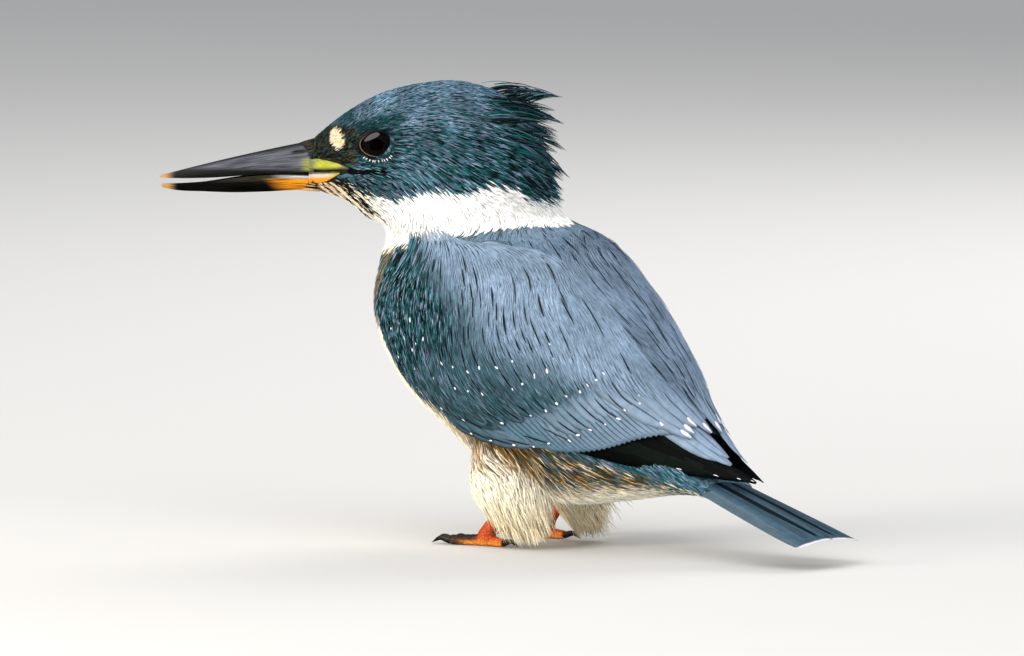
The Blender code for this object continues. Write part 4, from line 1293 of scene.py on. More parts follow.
def vanes(coat, line, normal, width, tint, roots, marks, shape=VANE_SHAPE, camber=0.05,
          thick=0.06, root=0.94, tip=1.0, roll=0.0):
    """Adds closed webbed feathers along middle lines: crowned across, thin at their edges, and
    rolled about their own lines, so that one edge lies over the next feather's."""
    steps = len(line) - 1
    across = unit(np.cross(unit(np.gradient(line, axis=0)), normal))
    normal = normal * math.cos(roll) - across * math.sin(roll)
    half = shaped(shape, steps) * (np.broadcast_to(width, line.shape[1]) / 2)
    points = carried(line, normal, half, half * camber + thick, VANE_SECTION)
    # painted shade: each feather is darker towards its root, where the feathers over it lie; root and tip
    # give the shares at both ends
    fade = np.linspace(root, tip, steps + 1)[None, :, None]
    coat.add(points, tint[:, None] * fade, roots, marks)


def shaft_streaks(coat, line, normal, roots, strength, rng, over):
    """Adds the dark shafts of webbed feathers: thin locks over the outer part of their middle
    lines, as long as each one's strength says, over above them. Those of no strength are left out."""
    good = strength > 0.05
    line, normal, strength, roots = line[2:, good], normal[2:, good], strength[good], roots[good]
    steps = len(line) - 1
    start = (1 - strength * rng.uniform(0.65, 1.0, len(strength))) * steps
    at = np.linspace(0, 0.93, steps + 1)[:, None] * (steps - start) + start
    low = np.minimum(at.astype(int), steps - 1)
    share = (at - low)[..., None]
    feather = np.arange(line.shape[1])
    line = line[low, feather] * (1 - share) + line[low + 1, feather] * share
    half = shaped(SHAFT_SHAPE, steps) * rng.uniform(0.16, 0.28, len(strength))
    points = carried(line + normal * over, normal, half, half * 0.7, LOCK_SECTION)
    c = plumage()
    tint = drawn(rng, len(strength), [(BLACK, 0.6), (c["dusk"], 0.4)])
    coat.add(points, tint, roots)


def tip_dots(coat, line, normal, roots, rng):
    """Adds a small white dot at each feather's tip: a short lock that starts inside it."""
    ahead = unit(line[-1] - line[-2])
    ahead = unit(ahead + np.cross(ahead, normal[-1]) * rng.normal(0, 0.25, (len(roots), 1)))
    steps = len(line[2:]) - 1
    reach = np.linspace(-0.5, 0.5, steps + 1)[:, None, None] * rng.uniform(0.8, 1.9, (1, len(roots), 1))
    made = line[-1] + ahead * (reach + rng.normal(-0.2, 0.35, (len(roots), 1))) + normal[-1] * 0.55
    half = shaped(SHAFT_SHAPE, steps) * rng.uniform(0.22, 0.5, len(roots))
    facing = np.broadcast_to(normal[-1], made.shape)
    coat.add(carried(made, facing, half, half * 0.5, LOCK_SECTION),
             np.tile(ink(240, 238, 244), (len(roots), 1)), roots)


def webs(coats, laid_out, width, tint, marks, strength, over, roll, rng, dots=None):
    """Adds webbed feathers to the first coat, and to the second their dark shafts and, on the
    share dots of them, white dots at their tips. laid_out is their lines, normals and roots."""
    line, normal, roots = laid_out
    vanes(coats[0], line, normal, width, tint, roots, np.tile(marks, (len(roots), 1)), roll=roll)
    shaft_streaks(coats[1], line, normal, roots, strength, rng, over)
    if dots is not None:
        dotted = rng.random(len(roots)) < dots
        tip_dots(coats[1], line[:, dotted], normal[:, dotted], roots[dotted], rng)


def wisp_density(a, b):
    """Everywhere over shoulders and coverts, closest at the bend, thinning over the last row."""
    rear = np.interp(b, [-0.2, 0.3, 0.4, 0.5, 0.8, 1.0], [7.0, 6.6, 5.9, 5.5, 4.6, 3.0])
    front = np.where(b < 0.62, 1.0, smooth(-0.15, 0.0, a))
    return (1 + 0.9 * smooth(2.6, 1.2, a) * smooth(0.55, 0.72, b)) * smooth(rear, rear - 1.2, a) * front


def wing_heading(a, b, here, by_a, by_b):
    """Along the rows of the wing, turned towards its lower edge by a slope that is greatest in
    the middle of its front half."""
    along = unit(by_a)
    across = unit(by_b - along * dot(by_b, along))
    slope = 32 * np.clip(1 - ((b - 0.54) / 0.44) ** 2, 0, 1) * smooth(6.8, 4.4, a) + 4
    slope = np.radians(slope - 13 * smooth(5.8, 7.2, a) * smooth(0.2, 0.5, b))[:, None]
    return along * np.cos(slope) + across * np.sin(slope)


def wing_tints(a, b, rng):
    """The colour of a wing's feathers: pale slate above, darker and greener by the bend and along
    the lower edge."""
    c = plumage()
    n = len(a)
    low = smooth(0.46, 0.70, b + 0.03 * rng.standard_normal(n)) * smooth(6.6, 5.0, a)
    bend = smooth(3.0, 1.5, a + 0.15 * rng.standard_normal(n)) * smooth(0.56, 0.74, b)
    # partly painted shadow and partly the feathers' own dark bases: a wing's feathers that lie past the
    # middle of the back darken towards the rear, in the groove between the two wings
    seam = smooth(-0.06, -0.16, b) * smooth(4.2, 4.9, a)
    mid = blend(c["slate"], c["pale_slate"], smooth(0.3, 1.0, rng.random(n)) * 0.35)
    tint = blend(np.tile(c["pale_slate"], (n, 1)), mid, low * 0.8 + 0.2 * rng.random(n))
    tint = blend(tint, c["teal"], low * 0.55 * rng.random(n))
    tint = blend(tint, c["dusk"], low * 0.5 * rng.random(n) ** 2)
    dark = blend(c["teal"], c["dusk"], rng.random(n) * 0.6)
    tint = blend(tint, dark, bend * (0.5 + 0.45 * rng.random(n)))
    tint = blend(tint, c["dusk"], seam * 0.25)
    tint = tint * (1 - 0.22 * smooth(0.34, 0.02, b) * smooth(4.5, 2.0, a) - 0.06 * low)[:, None]
    return tint * np.exp(rng.standard_normal(n) * 0.06)[:, None]


def wisp_tints(a, b, rng):
    """As the wing's feathers, with more of teal and dusk among them by the bend."""
    c = plumage()
    n = len(a)
    bend = np.maximum(smooth(3.1, 1.9, a) * smooth(0.52, 0.68, b),
                      0.6 * smooth(0.58, 0.8, b) * smooth(5.6, 4.6, a))
    mixed = drawn(rng, n, [(c["teal"] * 0.9, 0.34), (c["dusk"], 0.28), (BLACK, 0.10), (c["slate"], 0.22),
                           (c["pale_slate"], 0.12)])
    above = smooth(0.66, 0.46, b)[:, None]
    cloud = 1 + 0.14 * clumps(np.stack([a * 9, b * 45, 0 * a], -1), 14.0, 5)[:, None]
    front = 1 - 0.12 * smooth(1.6, 0.2, a)[:, None]
    return blend(wing_tints(a, b, rng) * (1 + 0.22 * above) * front, mixed, bend) * cloud


# the shoulder feathers meet off the middle of the back: the lowest b of each wing's field
SEAM = {"left": 0.165, "right": -0.235}
# a, and the b below which shoulder feathers reach there
SHOULDER_EDGE = [(0, 0.60), (2, 0.58), (4, 0.50), (5, 0.43), (6.2, 0.33), (7.6, 0.20)]
# b, and the a that small coverts reach there
LESSER_EDGE = [(0.40, 4.2), (0.47, 3.9), (0.62, 3.5), (0.72, 3.0), (0.79, 2.5), (0.90, 1.85), (1.0, 1.3)]
# number, length, width, outward place of the tips, and tips in a and b from the back downwards
COVERT_ROWS = {
    "greater": (15, 17.0, 5.6, -0.75, [(6.25, 0.33), (6.42, 0.5), (5.98, 0.78), (5.08, 0.965), (3.6, 0.985)]),
    "median": (14, 14.0, 5.4, -0.5, [(5.25, 0.42), (5.15, 0.60), (4.72, 0.79), (3.98, 0.90), (2.5, 0.965)]),
    "lower lesser": (12, 11.5, 5.0, -0.28,
                     [(4.25, 0.50), (4.1, 0.66), (3.6, 0.76), (3.0, 0.82), (1.9, 0.95)]),
    "upper lesser": (11, 10.0, 4.8, -0.12,
                     [(3.9, 0.45), (3.5, 0.62), (3.0, 0.72), (2.45, 0.79), (1.5, 0.92)]),
}
# number, width, first and last start, tips, and outward place of root and tip
FLIGHT_ROWS = {
    "primaries": (8, 6.6, ((5.0, 0.90), (6.6, 0.48)),
                  [(7.9, 0.985), (9.2, 0.95), (10.2, 0.78), (10.93, 0.48)], (-2.9, -1.5)),
    "secondaries": (28, 6.4, ((3.3, 0.80), (5.2, 0.40)),
                    [(4.9, 0.985), (5.8, 0.985), (6.55, 0.885), (7.15, 0.68), (7.75, 0.41)], (-2.3, -1.0)),
    "inner": (3, 7.0, ((5.6, 0.42), (5.6, 0.26)), [(9.0, 0.42), (9.5, 0.30), (9.2, 0.16)], (-2.2, -1.0)),
    "tertials": (5, 8.0, ((4.6, 0.48), (4.6, 0.16)),
                 [(7.5, 0.44), (8.15, 0.34), (7.8, 0.22), (8.2, 0.05)], (-1.8, -0.35)),
}


def spread_along(corners, count):
    """count places on the smooth curve through corners."""
    return splined(corners, np.linspace(0, len(corners) - 1, count))


def make_wing_coats():
    """Each wing's coat of webbed feathers: rows of coverts with white tips, small coverts, shoulder
    feathers, and fine wisps over them where their webs fray."""
    plumes = bpy.context.scene.kingfisher_plumage
    for number, (word, wing) in enumerate(WINGS.items()):
        rng = np.random.default_rng(61 + number)
        coats = Coat(VANE_SECTION), Coat(LOCK_SECTION)
        roll = math.radians(1.2) * SIDES[word]
        for count, reach, wide, top, tips in COVERT_ROWS.values():
            tip_a, tip_b = spread_along(tips, count).T
            tip_a = tip_a + rng.standard_normal(count) * 0.04
            line, normal, _ = laid(wing, tip_a, tip_b, lambda *given: -wing_heading(*given),
                                   np.full(count, reach), VANE_STEPS, lambda t: top - 0.6 * t)
            webs(coats, (line[::-1], normal[::-1], wing.unwrap(tip_a, tip_b)), wide,
                 wing_tints(tip_a, tip_b, rng), [0.6, 0.0, 0.15], np.ones(count), 0.62, roll, rng, 0.88)
        a, b = in_rows(wing, (-0.1, 0.40), (3.6, 0.99), 0.42, plumes.covert_spacing / MM, rng)
        bend = smooth(2.4, 1.2, a) * smooth(0.58, 0.75, b)
        line, normal, path = laid(wing, a, b, wing_heading, 11.5 * (1 - 0.35 * bend), VANE_STEPS,
                                  lambda t: -0.65 + 0.68 * t)
        end = path[-1]
        good = (end[:, 0] < between(LESSER_EDGE, end[:, 1])) & (end[:, 1] < 1.0)
        a, b, end, bend = a[good], b[good], end[good], bend[good]
        webs(coats, (line[:, good], normal[:, good], wing.unwrap(a, b)), 5.0 * (1 - 0.3 * bend),
             wing_tints(*end.T, rng), [0.6, 0.0, 0.1],
             0.9 * (rng.random(len(a)) < 0.8) * (1 - 0.35 * bend), 0.62, roll, rng,
             0.40 * smooth(0.70, 0.84, end[:, 1]) * smooth(1.5, 2.1, end[:, 0]))
        a, b = in_rows(wing, (0.25, SEAM[word]), (6.6, 0.60), 0.60, plumes.shoulder_spacing / MM, rng)
        line, normal, path = laid(wing, a, b, wing_heading, 18.0 - 6.0 * smooth(2.0, 0.2, a), VANE_STEPS,
                                  lambda t: -0.75 + 0.55 * t)
        end = path[-1]
        good = (end[:, 1] < between(SHOULDER_EDGE, end[:, 0])) & (end[:, 0] < 7.75)
        a, b, end = a[good], b[good], end[good]
        webs(coats, (line[:, good], normal[:, good], wing.unwrap(a, b)), 8.4 - 2.0 * smooth(5, 7.5, a),
             wing_tints(*end.T, rng), [0.5, 0.0, 0.05], 1.0 * (rng.random(len(a)) < 0.66), 0.78, roll, rng)
        coats[0].make(f"plumage_wing_{word}", finish("webbed_plumage"), "slate_feathers")
        coats[1].make(f"plumage_shafts_{word}", finish("fine_plumage"), "dark_feathers")
        wisps = Coat(LOCK_SECTION)
        a, b = scattered(wing, (-0.55, SEAM[word] - 0.03), (6.9, 1.0), plumes.wing_wisps, wisp_density)
        bend = smooth(2.5, 1.4, a) * smooth(0.55, 0.72, b)
        over = np.interp(a, [0, 3, 4.2, 5.2, 6.3], [0, -0.05, -0.2, -0.42, -0.65]) * smooth(0.4, 0.6, b)
        lock_coat(wisps, wing, a, b, wing_heading, (7.0 - 2.6 * bend) * (0.75 + 0.5 * rng.random(len(a))),
                  0.46 + 0.22 * bend, lambda a, b, place: wisp_tints(a, b, rng), rng,
                  lift=(over - 0.25, over + 0.30 + 0.15 * bend), bow=0.3, rib=0.14, shadow=0.05)
        wisps.make(f"plumage_wisps_{word}", finish("fine_plumage"), "slate_feathers")


def make_flight_feathers():
    """The long feathers of each wing. A feather's middle line runs straight in a and b from its
    row's start to its tip, lifting outwards; in each row those nearer the back lie on top."""
    c = plumage()
    for number, (word, wing) in enumerate(WINGS.items()):
        rng = np.random.default_rng(71 + number)
        coat = Coat(VANE_SECTION)
        for kind, (count, wide, starts, tips, (low, high)) in FLIGHT_ROWS.items():
            order = np.linspace(0, 1, count)
            start = np.array(starts[0]) * (1 - order[:, None]) + np.array(starts[1]) * order[:, None]
            tip = spread_along(tips, count)
            t = np.linspace(0, 1, FLIGHT_STEPS + 1)[:, None]
            a = start[:, 0] + (tip[:, 0] - start[:, 0]) * t
            b = start[:, 1] + (tip[:, 1] - start[:, 1]) * t ** 1.15
            over = 0.45 * order
            line = wing.points(a, b, low + (high - low) * t + over)
            normal = wing.tangents(a, b, 0.0 * a)[-1]
            tone = {"primaries": drawn(rng, count, [(ink(7, 11, 9), 1), (ink(12, 20, 15), 1)]),
                    "secondaries": blend(c["slate"] * 0.9, c["pale_slate"] * 0.9, order),
                    "inner": np.repeat(c["pale_slate"][None] * 1.08, count, 0),
                    "tertials": np.repeat(c["pale_slate"][None], count, 0)}[kind]
            dots = {"primaries": 0.4, "secondaries": 0.0, "inner": 0.0, "tertials": 1.15}[kind]
            dark = kind == "primaries"
            shown = np.arange(count) % 2 == 1 if dark else np.ones(count, bool)
            marks = np.stack([np.full(count, 0.0 if dark else 0.7), dots * shown,
                              np.full(count, 0.03 if dark else 0.4)], -1)
            taper = smooth(11.4, 8.5, a.max(0)) * 0.45 + 0.55
            vanes(coat, line, normal, wide * taper, tone, wing.unwrap(tip[:, 0], tip[:, 1]), marks,
                  shape=FLIGHT_SHAPE, camber=0.08, thick=0.25, root=0.85, tip=1.0,
                  roll=math.radians(3) * SIDES[word])
        coat.make(f"flight_feathers_{word}", finish("webbed_plumage"), "dark_feathers")


def mantle_lift(a):
    """How far off the flesh the mantle lies: as much as the wings' own fronts do."""
    return np.interp(a, [8.3, 9, 10, 11, 12, 13], [0.2, 1.3, 2.4, 2.7, 3.1, 3.8])


def make_mantle():
    """The webbed feathers of the upper back in front of the wings, and wisps over them."""
    plumes = bpy.context.scene.kingfisher_plumage
    c = plumage()
    coats = Coat(VANE_SECTION), Coat(LOCK_SECTION)
    rng = np.random.default_rng(81)
    a, b = in_rows(FLESH, (8.3, -1.5), (10.6, 1.5), 0.42, plumes.mantle_spacing / MM, rng)
    good = below_collar(a, b, rng) > 0.5
    a, b = a[good], b[good]
    n = len(a)
    line, normal, _ = laid(FLESH, a, b, body_heading, 12.0 * np.exp(rng.standard_normal(n) * 0.1),
                           VANE_STEPS, lambda t: mantle_lift(a + 0.95 * t) - 1.0 + 0.55 * t)
    tint = blend(c["pale_slate"], c["slate"], rng.random(n) * 0.5)
    webs(coats, (line, normal, FLESH.unwrap(a, b)), 6.8, tint, [0.5, 0.0, 0.05],
         0.9 * (rng.random(n) < 0.8), 0.75, 0.01, rng)
    coats[1].make("plumage_mantle_shafts", finish("fine_plumage"), "dark_feathers")
    coats[0].make("plumage_mantle", finish("webbed_plumage"), "slate_feathers")
    wisps = Coat(LOCK_SECTION)
    a, b = scattered(FLESH, (8.35, -1.65), (10.6, 1.65), plumes.mantle_wisps,
                     lambda a, b: smooth(10.8, 8.8, a))
    good = below_collar(a + 0.1, b, rng) > 0.5
    a, b = a[good], b[good]
    height = mantle_lift(a)
    lock_coat(wisps, FLESH, a, b, body_heading, 5.0 + 3.0 * rng.random(len(a)), 0.48,
              lambda a, b, place: mantle_wisp_tints(a, b, rng), rng,
              lift=(height - 0.6, height + 0.45), bow=0.3, rib=0.14, shadow=0.1)
    wisps.make("plumage_mantle_wisps", finish("fine_plumage"), "slate_feathers")


def mantle_wisp_tints(a, b, rng):
    """Slate like the mantle's, with dark ones among them by the collar."""
    c = plumage()
    n = len(a)
    front = smooth(9.4, 8.6, a)
    low = smooth(60, 85, np.degrees(np.abs(b)))
    tint = blend(c["pale_slate"] * 0.96, c["slate"], rng.random(n) * 0.8)
    tint = blend(tint, c["teal"], low * 0.7)
    return blend(tint, c["dusk"], (rng.random(n) < 0.06 + 0.3 * front + 0.25 * low) * 0.85)


TAIL_ROOT = 66.0    # y of the tail feathers' hidden ends
# pairs of tail feathers from the middle: distance aside at the tip, width, depth and length left out
TAIL_PAIRS = [(4.6, 12.8, 0.0, 0.0), (8.0, 12.0, 0.3, 0.1), (9.6, 11.5, 0.55, 0.2), (10.9, 11.0, 0.8, 0.4),
              (11.9, 10.6, 1.0, 0.6), (12.6, 10.2, 1.2, 0.9)]


def make_tail():
    """Twelve long feathers in a shallow closed fan: the middle pair lies on top and each next
    one a little lower and further out, with a dark shaft stripe and a pale tip."""
    c = plumage()
    pairs = np.array(TAIL_PAIRS)
    side = np.repeat([1.0, -1.0], len(pairs))
    aside, wide, deep, short = np.tile(pairs, (2, 1)).T
    t = np.linspace(0, 1, TAIL_STEPS + 1)[:, None]
    y = TAIL_ROOT + (TAIL_TIP[0] + 0.4 - TAIL_ROOT - short) * t
    slope = (TAIL_TIP[1] - TAIL_AT[1]) / (TAIL_TIP[0] - TAIL_AT[0])
    spread = np.interp(y, [TAIL_ROOT, TAIL_AT[0], TAIL_TIP[0]], [0.55, 0.78, 1.0])
    z = TAIL_AT[1] + slope * (y - TAIL_AT[0]) + 1.6 - deep + 0.22 * (side > 0)
    line = np.stack([spread * aside * side, y, z], -1)
    normal = unit(np.array([0.0, -slope, 1.0]) + (side * aside / 60)[:, None] * [1.0, 0, 0])
    normal = np.broadcast_to(normal, line.shape)
    rng = np.random.default_rng(91)
    n = len(side)
    tint = np.repeat(c["slate"][None], n, 0) * 0.56 * np.exp(rng.standard_normal(n) * 0.05)[:, None]
    marks = np.stack([np.where(aside < 5, 1.0, 0.35), np.zeros(n), np.full(n, 0.3)], -1)
    coat = Coat(VANE_SECTION)
    roots = np.stack([0.62 + 0.03 * np.arange(n), np.full(n, 0.5)], -1)
    vanes(coat, line, normal, wide, tint, roots, marks, shape=TAIL_SHAPE, camber=0.03, thick=0.25,
          root=0.9, tip=1.0)
    tail = coat.make("tail_feathers", finish("tail_plumage"), "slate_feathers")
    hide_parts("tail")


# ---------------------------------------------------------------- bill, eyes and face

SHEATH_RINGS, SHEATH_AROUND = 110, 96


def sheath(rows, way):
    """A mandible's points: half width times sin t across, and up or down from the cutting edge by
    its depth times cos t to the power HORN_ROUND, flat on the cutting side. t comes with them."""
    rows = np.array([*rows, (rows[-1][0] + 4.0, *rows[-1][1:])], float)
    at = rows[0, 0] + (rows[-1, 0] - rows[0, 0]) * np.linspace(0, 1, SHEATH_RINGS)
    _, edge, wide, deep = splined(rows, at, rows[:, 0]).T
    turn = (np.arange(SHEATH_AROUND) + 0.5) * TAU / SHEATH_AROUND
    up = np.cos(turn)
    shape = np.where(up > 0, np.abs(up) ** HORN_ROUND, 0.05 * np.abs(up))
    aside = wide[:, None] * np.sin(turn)
    along = np.broadcast_to(at[:, None], aside.shape).copy()
    height = edge[:, None] + way * deep[:, None] * shape
    return along, aside, height, np.broadcast_to(turn, aside.shape)


def make_bill():
    """Both mandibles as worn horn, with a nostril slit, a groove from it and pale tips."""
    for word, rows, way in (("bill_upper", UPPER_BILL, 1), ("bill_lower", LOWER_BILL, -1)):
        along, aside, height, turn = sheath(rows, way)
        if way > 0:
            slit = np.exp(-((along + 55.4) / 2.4) ** 4 - ((height - 129.6 - 0.12 * (along + 54)) / 0.5) ** 2)
            groove = smooth(-88, -60, along) * np.exp(-((height - 128.2 + 0.14 * (along + 54)) / 0.7) ** 2)
            aside = aside - np.sign(aside) * (0.75 * slit + 0.22 * groove)
        mesh = joined(word + "_horn", [closed_loft(head_point(along, aside, height))])
        a = np.append(along.ravel(), [along[0, 0], along[-1, 0]])
        h = np.append(height.ravel(), [height[0].mean(), height[-1].mean()])
        r = np.append(turn.ravel(), [0, 0])
        n = len(a)
        if way > 0:
            ridge = smooth(0.55, 0.25, round_from_back(r)) * 0.75
            tint = blend(np.tile(HORN_GREY, (n, 1)), HORN_DARK, np.maximum(ridge, smooth(124.6, 122.8, h)))
            bare = smooth(-56.0, -51.4, a) * smooth(128.0, 126.4, h) * smooth(122.9, 124.0, h)
            tint = blend(tint, GAPE_GREEN * 0.75, bare * 0.7)
            tint = blend(tint, OLIVE * 0.6, smooth(-54.5, -51.8, a) * smooth(129.4, 130.8, h))
            # painted shade: the nostril slit darkened nearly to black, standing for its shaded opening
            tint = blend(tint, BLACK * 0.3, np.append(np.minimum(slit.ravel() * 1.3, 1), [0, 0]))
            tint = blend(tint, HORN_TIP, smooth(-96.5, -100.8, a) * 0.75)
        else:
            upper = smooth(118.6, 120.6, h) * smooth(-98, -90, a)
            tint = blend(np.tile(HORN_DARK, (n, 1)), OLIVE * 1.3, upper)
            base = smooth(-66.5, -57.5, a + 0.9 * (h - 118))
            tint = blend(tint, ORANGE, base * smooth(120.9, 120.2, h))
            pale = smooth(120.4, 120.9, h) * smooth(122.0, 121.6, h)
            tint = blend(tint, LIP_PALE * 0.9, pale * smooth(-66, -57, a))
            tint = blend(tint, HORN_TIP, smooth(-96.0, -100.0, a) * 0.85)
        point_colour(mesh, "Tint", tint)
        corner_map(mesh, "Grain", np.stack([r / TAU, (a - a.min()) / (a.max() - a.min())], -1))
        piece_of(word + "_horn", mesh, finish("horn_sheath"), (word,))


EYE_RINGS, EYE_AROUND, LID_AROUND, LID_TUBE = 32, 56, 72, 12


def eye_ball(side):
    """Rings of a ball flattened from the head's side, from its outer pole to its inner one, and
    flatter outwards: there its height is EYE_DOME times the cosine to the power 0.82."""
    polar, turn = np.meshgrid(np.linspace(0, math.pi, EYE_RINGS + 2)[1:-1],
                              np.arange(EYE_AROUND) * TAU / EYE_AROUND, indexing="ij")
    along = EYE_SEEN[0] + np.sin(polar) * np.cos(turn) * EYE_RADIUS * EYE_LONG
    height = EYE_SEEN[2] + np.sin(polar) * np.sin(turn) * EYE_RADIUS * EYE_TALL
    outer = EYE_DOME * np.abs(np.cos(polar)) ** 0.82
    rise = np.where(polar < math.pi / 2, outer, EYE_DEPTH * np.cos(polar))
    return head_point(along, side * (EYE_SEEN[1] + rise), height), polar, turn


def make_eyes():
    """Both eyeballs. Their map Iris gives the turn round the pupil and how far out from it."""
    for word, side in SIDES.items():
        rings, polar, turn = eye_ball(side)
        points, quads, fans = closed_loft(rings)
        poles = EYE_SEEN[1] + np.array([EYE_DOME, -EYE_DEPTH])
        points[-2:] = head_point(EYE_SEEN[0], side * poles, EYE_SEEN[2])
        mesh = joined("eyeball_" + word, [(points, quads, fans)])
        out = np.append(np.sin(polar).ravel(), [0, 0])
        out = np.where(np.append(polar.ravel(), [0, math.pi]) > math.pi / 2, 1.0, out)
        corner_map(mesh, "Iris", np.stack([np.append(turn.ravel(), [0, 0]) / TAU, out], -1))
        piece_of("eyeball_" + word, mesh, finish("eye_gloss"), ("eye_" + word,))


def lid_ring(side, radius, thick, aside_at, tilt):
    """A closed ring round the eye: a torus drawn out to an almond, whose tube is flattened."""
    turn, tube = np.meshgrid(np.arange(LID_AROUND) * TAU / LID_AROUND,
                             np.arange(LID_TUBE) * TAU / LID_TUBE, indexing="ij")
    almond = 1 + 0.055 * np.abs(np.cos(turn)) ** 6 - 0.075 * np.abs(np.sin(turn)) ** 2
    reach = radius * almond + thick * np.cos(tube)
    fold = 1 + 0.10 * np.sin(turn * 17) + 0.08 * np.sin(turn * 29 + 1)
    lift = aside_at + thick * 0.9 * np.sin(tube) * fold - tilt * np.cos(turn)
    return head_point(EYE_SEEN[0] + reach * np.cos(turn) * EYE_LONG, side * lift,
                      EYE_SEEN[2] + reach * np.sin(turn) * EYE_TALL)


def closed_ring(grid):
    """Points and faces of a grid closed both ways round, and no fans."""
    index = np.arange(grid.shape[0] * grid.shape[1]).reshape(grid.shape[:2])
    beside, after = np.roll(index, -1, 1), np.roll(index, -1, 0)
    faces = np.stack([index, beside, np.roll(beside, -1, 0), after], -1).reshape(-1, 4)
    return grid.reshape(-1, 3), faces, faces[:0, :3]


def make_lids():
    """Two folds of bare skin round each eye: a dark outer one and a thin pale rim inside it."""
    for word, side in SIDES.items():
        grids = [lid_ring(side, 5.0, 0.62, 15.1, 0.9), lid_ring(side, 4.66, 0.15, 15.72, 0.75)]
        turn = np.repeat(np.arange(LID_AROUND) * TAU / LID_AROUND, LID_TUBE)
        pale = smooth(-0.3, 0.8, np.cos(turn - math.radians(222)))
        rim = blend(ink(24, 24, 22), ink(112, 92, 66), pale)
        mesh = joined("lids_" + word, [closed_ring(grid) for grid in grids])
        point_colour(mesh, "Tint", np.concatenate([np.broadcast_to(ink(12, 15, 15), rim.shape), rim]))
        piece_of("lids_" + word, mesh, finish("lid_skin"))


def leaf(side, low_a, high_a, rows, out):
    """A closed leaf on the face between two edges. rows give, at shares of its length, the upper
    and lower edge in degrees round from the back; it stands out by out along its middle."""
    x, y = np.meshgrid(np.linspace(0, 1, 48), np.linspace(-1, 1, 17), indexing="ij")
    top, bottom = splined([r[1:] for r in rows], x, [r[0] for r in rows]).transpose(2, 0, 1)
    a = low_a + (high_a - low_a) * x
    b = side * np.radians(top + (bottom - top) * (y + 1) / 2)
    rise = np.clip(1 - y ** 2, 0, 1) ** 0.5 * np.clip(1 - x ** 6, 0, 1) ** 0.5
    ahead = BACKWARDS * (np.minimum(a, 0) * 4.0)[..., None]
    outer, inner = (FLESH.points(np.maximum(a, 0), b, off) + ahead for off in (out * rise - 0.12, -0.9))
    return closed_loft(np.concatenate([outer, inner[:, ::-1]], 1))


# share of the length, and the upper and lower edge in degrees round from the back
GAPE_ROWS = [(0, 70, 94), (0.25, 74, 97), (0.5, 82, 100.5), (0.75, 92, 103), (1, 103, 104.5)]
LIP_ROWS = [(0, 100, 136), (0.3, 102.5, 133), (0.6, 105, 127), (0.85, 106.5, 117), (1, 108, 110)]


def make_gape():
    """The bare corners of the mouth: a green-yellow leaf over the mouth line on each side, and
    under it the orange lip of the lower jaw, pale along its upper edge."""
    for word, side in SIDES.items():
        made = joined("gape_" + word, [leaf(side, -0.3, 2.35, GAPE_ROWS, 0.75),
                                       leaf(side, -0.3, 1.95, LIP_ROWS, 0.45)])
        along, _, height = in_head(places_of(made))
        n = len(along)
        mouth = np.interp(along, [-54, -47, -41, -36], [122.4, 122.9, 123.4, 123.7])
        rng = np.random.default_rng(101)
        mottle = np.sin(along * 1.9 + 1.3 * np.sin(height * 1.7)) * np.sin(height * 2.9 + along * 0.8)
        mottle = (0.55 + 0.45 * mottle) * rng.random(n) + 0.35 * smooth(1.8, 4.6, height - mouth)
        over = blend(np.tile(GAPE_GREEN, (n, 1)), GAPE_YELLOW, smooth(-46, -41, along) * 0.25)
        over = blend(over, OLIVE * 1.6, np.clip(mottle, 0, 1) * 0.7)
        over = blend(over, HORN_GREY, smooth(127.4, 129.0, height) * 0.7)
        over = blend(over, OLIVE, smooth(2.5, 0.8, height - mouth) * (0.7 + 0.3 * rng.random(n)))
        over = blend(over, OLIVE * 2.2, smooth(-43.5, -39.5, along) * 0.75)
        over = blend(over, HORN_GREY, smooth(-48.6, -51.2, along) * 0.55)
        edge = blend(np.tile(LIP_PALE, (n, 1)), GAPE_YELLOW * 0.8, smooth(-48, -42, along))
        under = blend(np.tile(ORANGE, (n, 1)), edge, smooth(-1.9, -1.2, height - mouth) * 0.9)
        under = blend(under, ink(150, 148, 60), smooth(-46.5, -42.5, along) * 0.7)
        rims = np.maximum(smooth(-0.5, 0.0, height - mouth), smooth(118.6, 117.2, height))
        under = blend(under, OLIVE, rims)
        point_colour(made, "Tint", np.where((height > mouth)[:, None], over, under))
        piece_of("gape_" + word, made, finish("lid_skin"))


# ---------------------------------------------------------------- feet

def tube(path, radii, around, flat=1.0, floor=None):
    """Rings square to a path: a circle of each radius, flattened upwards, and cut by the floor."""
    path = np.asarray(path, float)
    ahead = unit(np.gradient(path, axis=0))
    across = unit(np.cross(ahead, UPWARDS + [0, 1e-3, 0]))
    up = np.cross(across, ahead)
    turn = (np.arange(around) + 0.5) * TAU / around
    radii = np.broadcast_to(radii, (len(path),)) if np.ndim(radii) < 2 else radii
    size = radii[:, None, None] if radii.ndim == 1 else radii[..., None]
    rings = (path[:, None] + across[:, None] * np.cos(turn)[:, None] * size
             + up[:, None] * np.sin(turn)[:, None] * size * flat)
    if floor is not None:
        rings[..., 2] = np.maximum(rings[..., 2], floor)
    return rings


def toe_line(heading, length, root, end, count):
    """A toe's middle line, straight ahead of the ankle and turned outwards by its heading."""
    turn = math.radians(heading)
    ahead = np.array([math.sin(turn), -math.cos(turn), 0.0])
    t = np.linspace(0, 1, count)[:, None]
    radii = root + (end - root) * t[:, 0]
    line = np.array([ANKLE[0], ANKLE[1], 0.0]) + ahead * length * t + radii[:, None] * [0, 0, 0.8]
    return line, radii, ahead


def plated(radii, plates):
    """Radii with plates: a saw's teeth rounded off, each plate highest near its far edge."""
    phase = np.linspace(0, plates, len(radii)) % 1.0
    return radii * (1 + 0.11 * (phase ** 1.5 - 0.4))


TOE_RINGS, CLAW_RINGS, PAD_RINGS = 40, 24, 16
FOOT_VOXEL = 0.00034


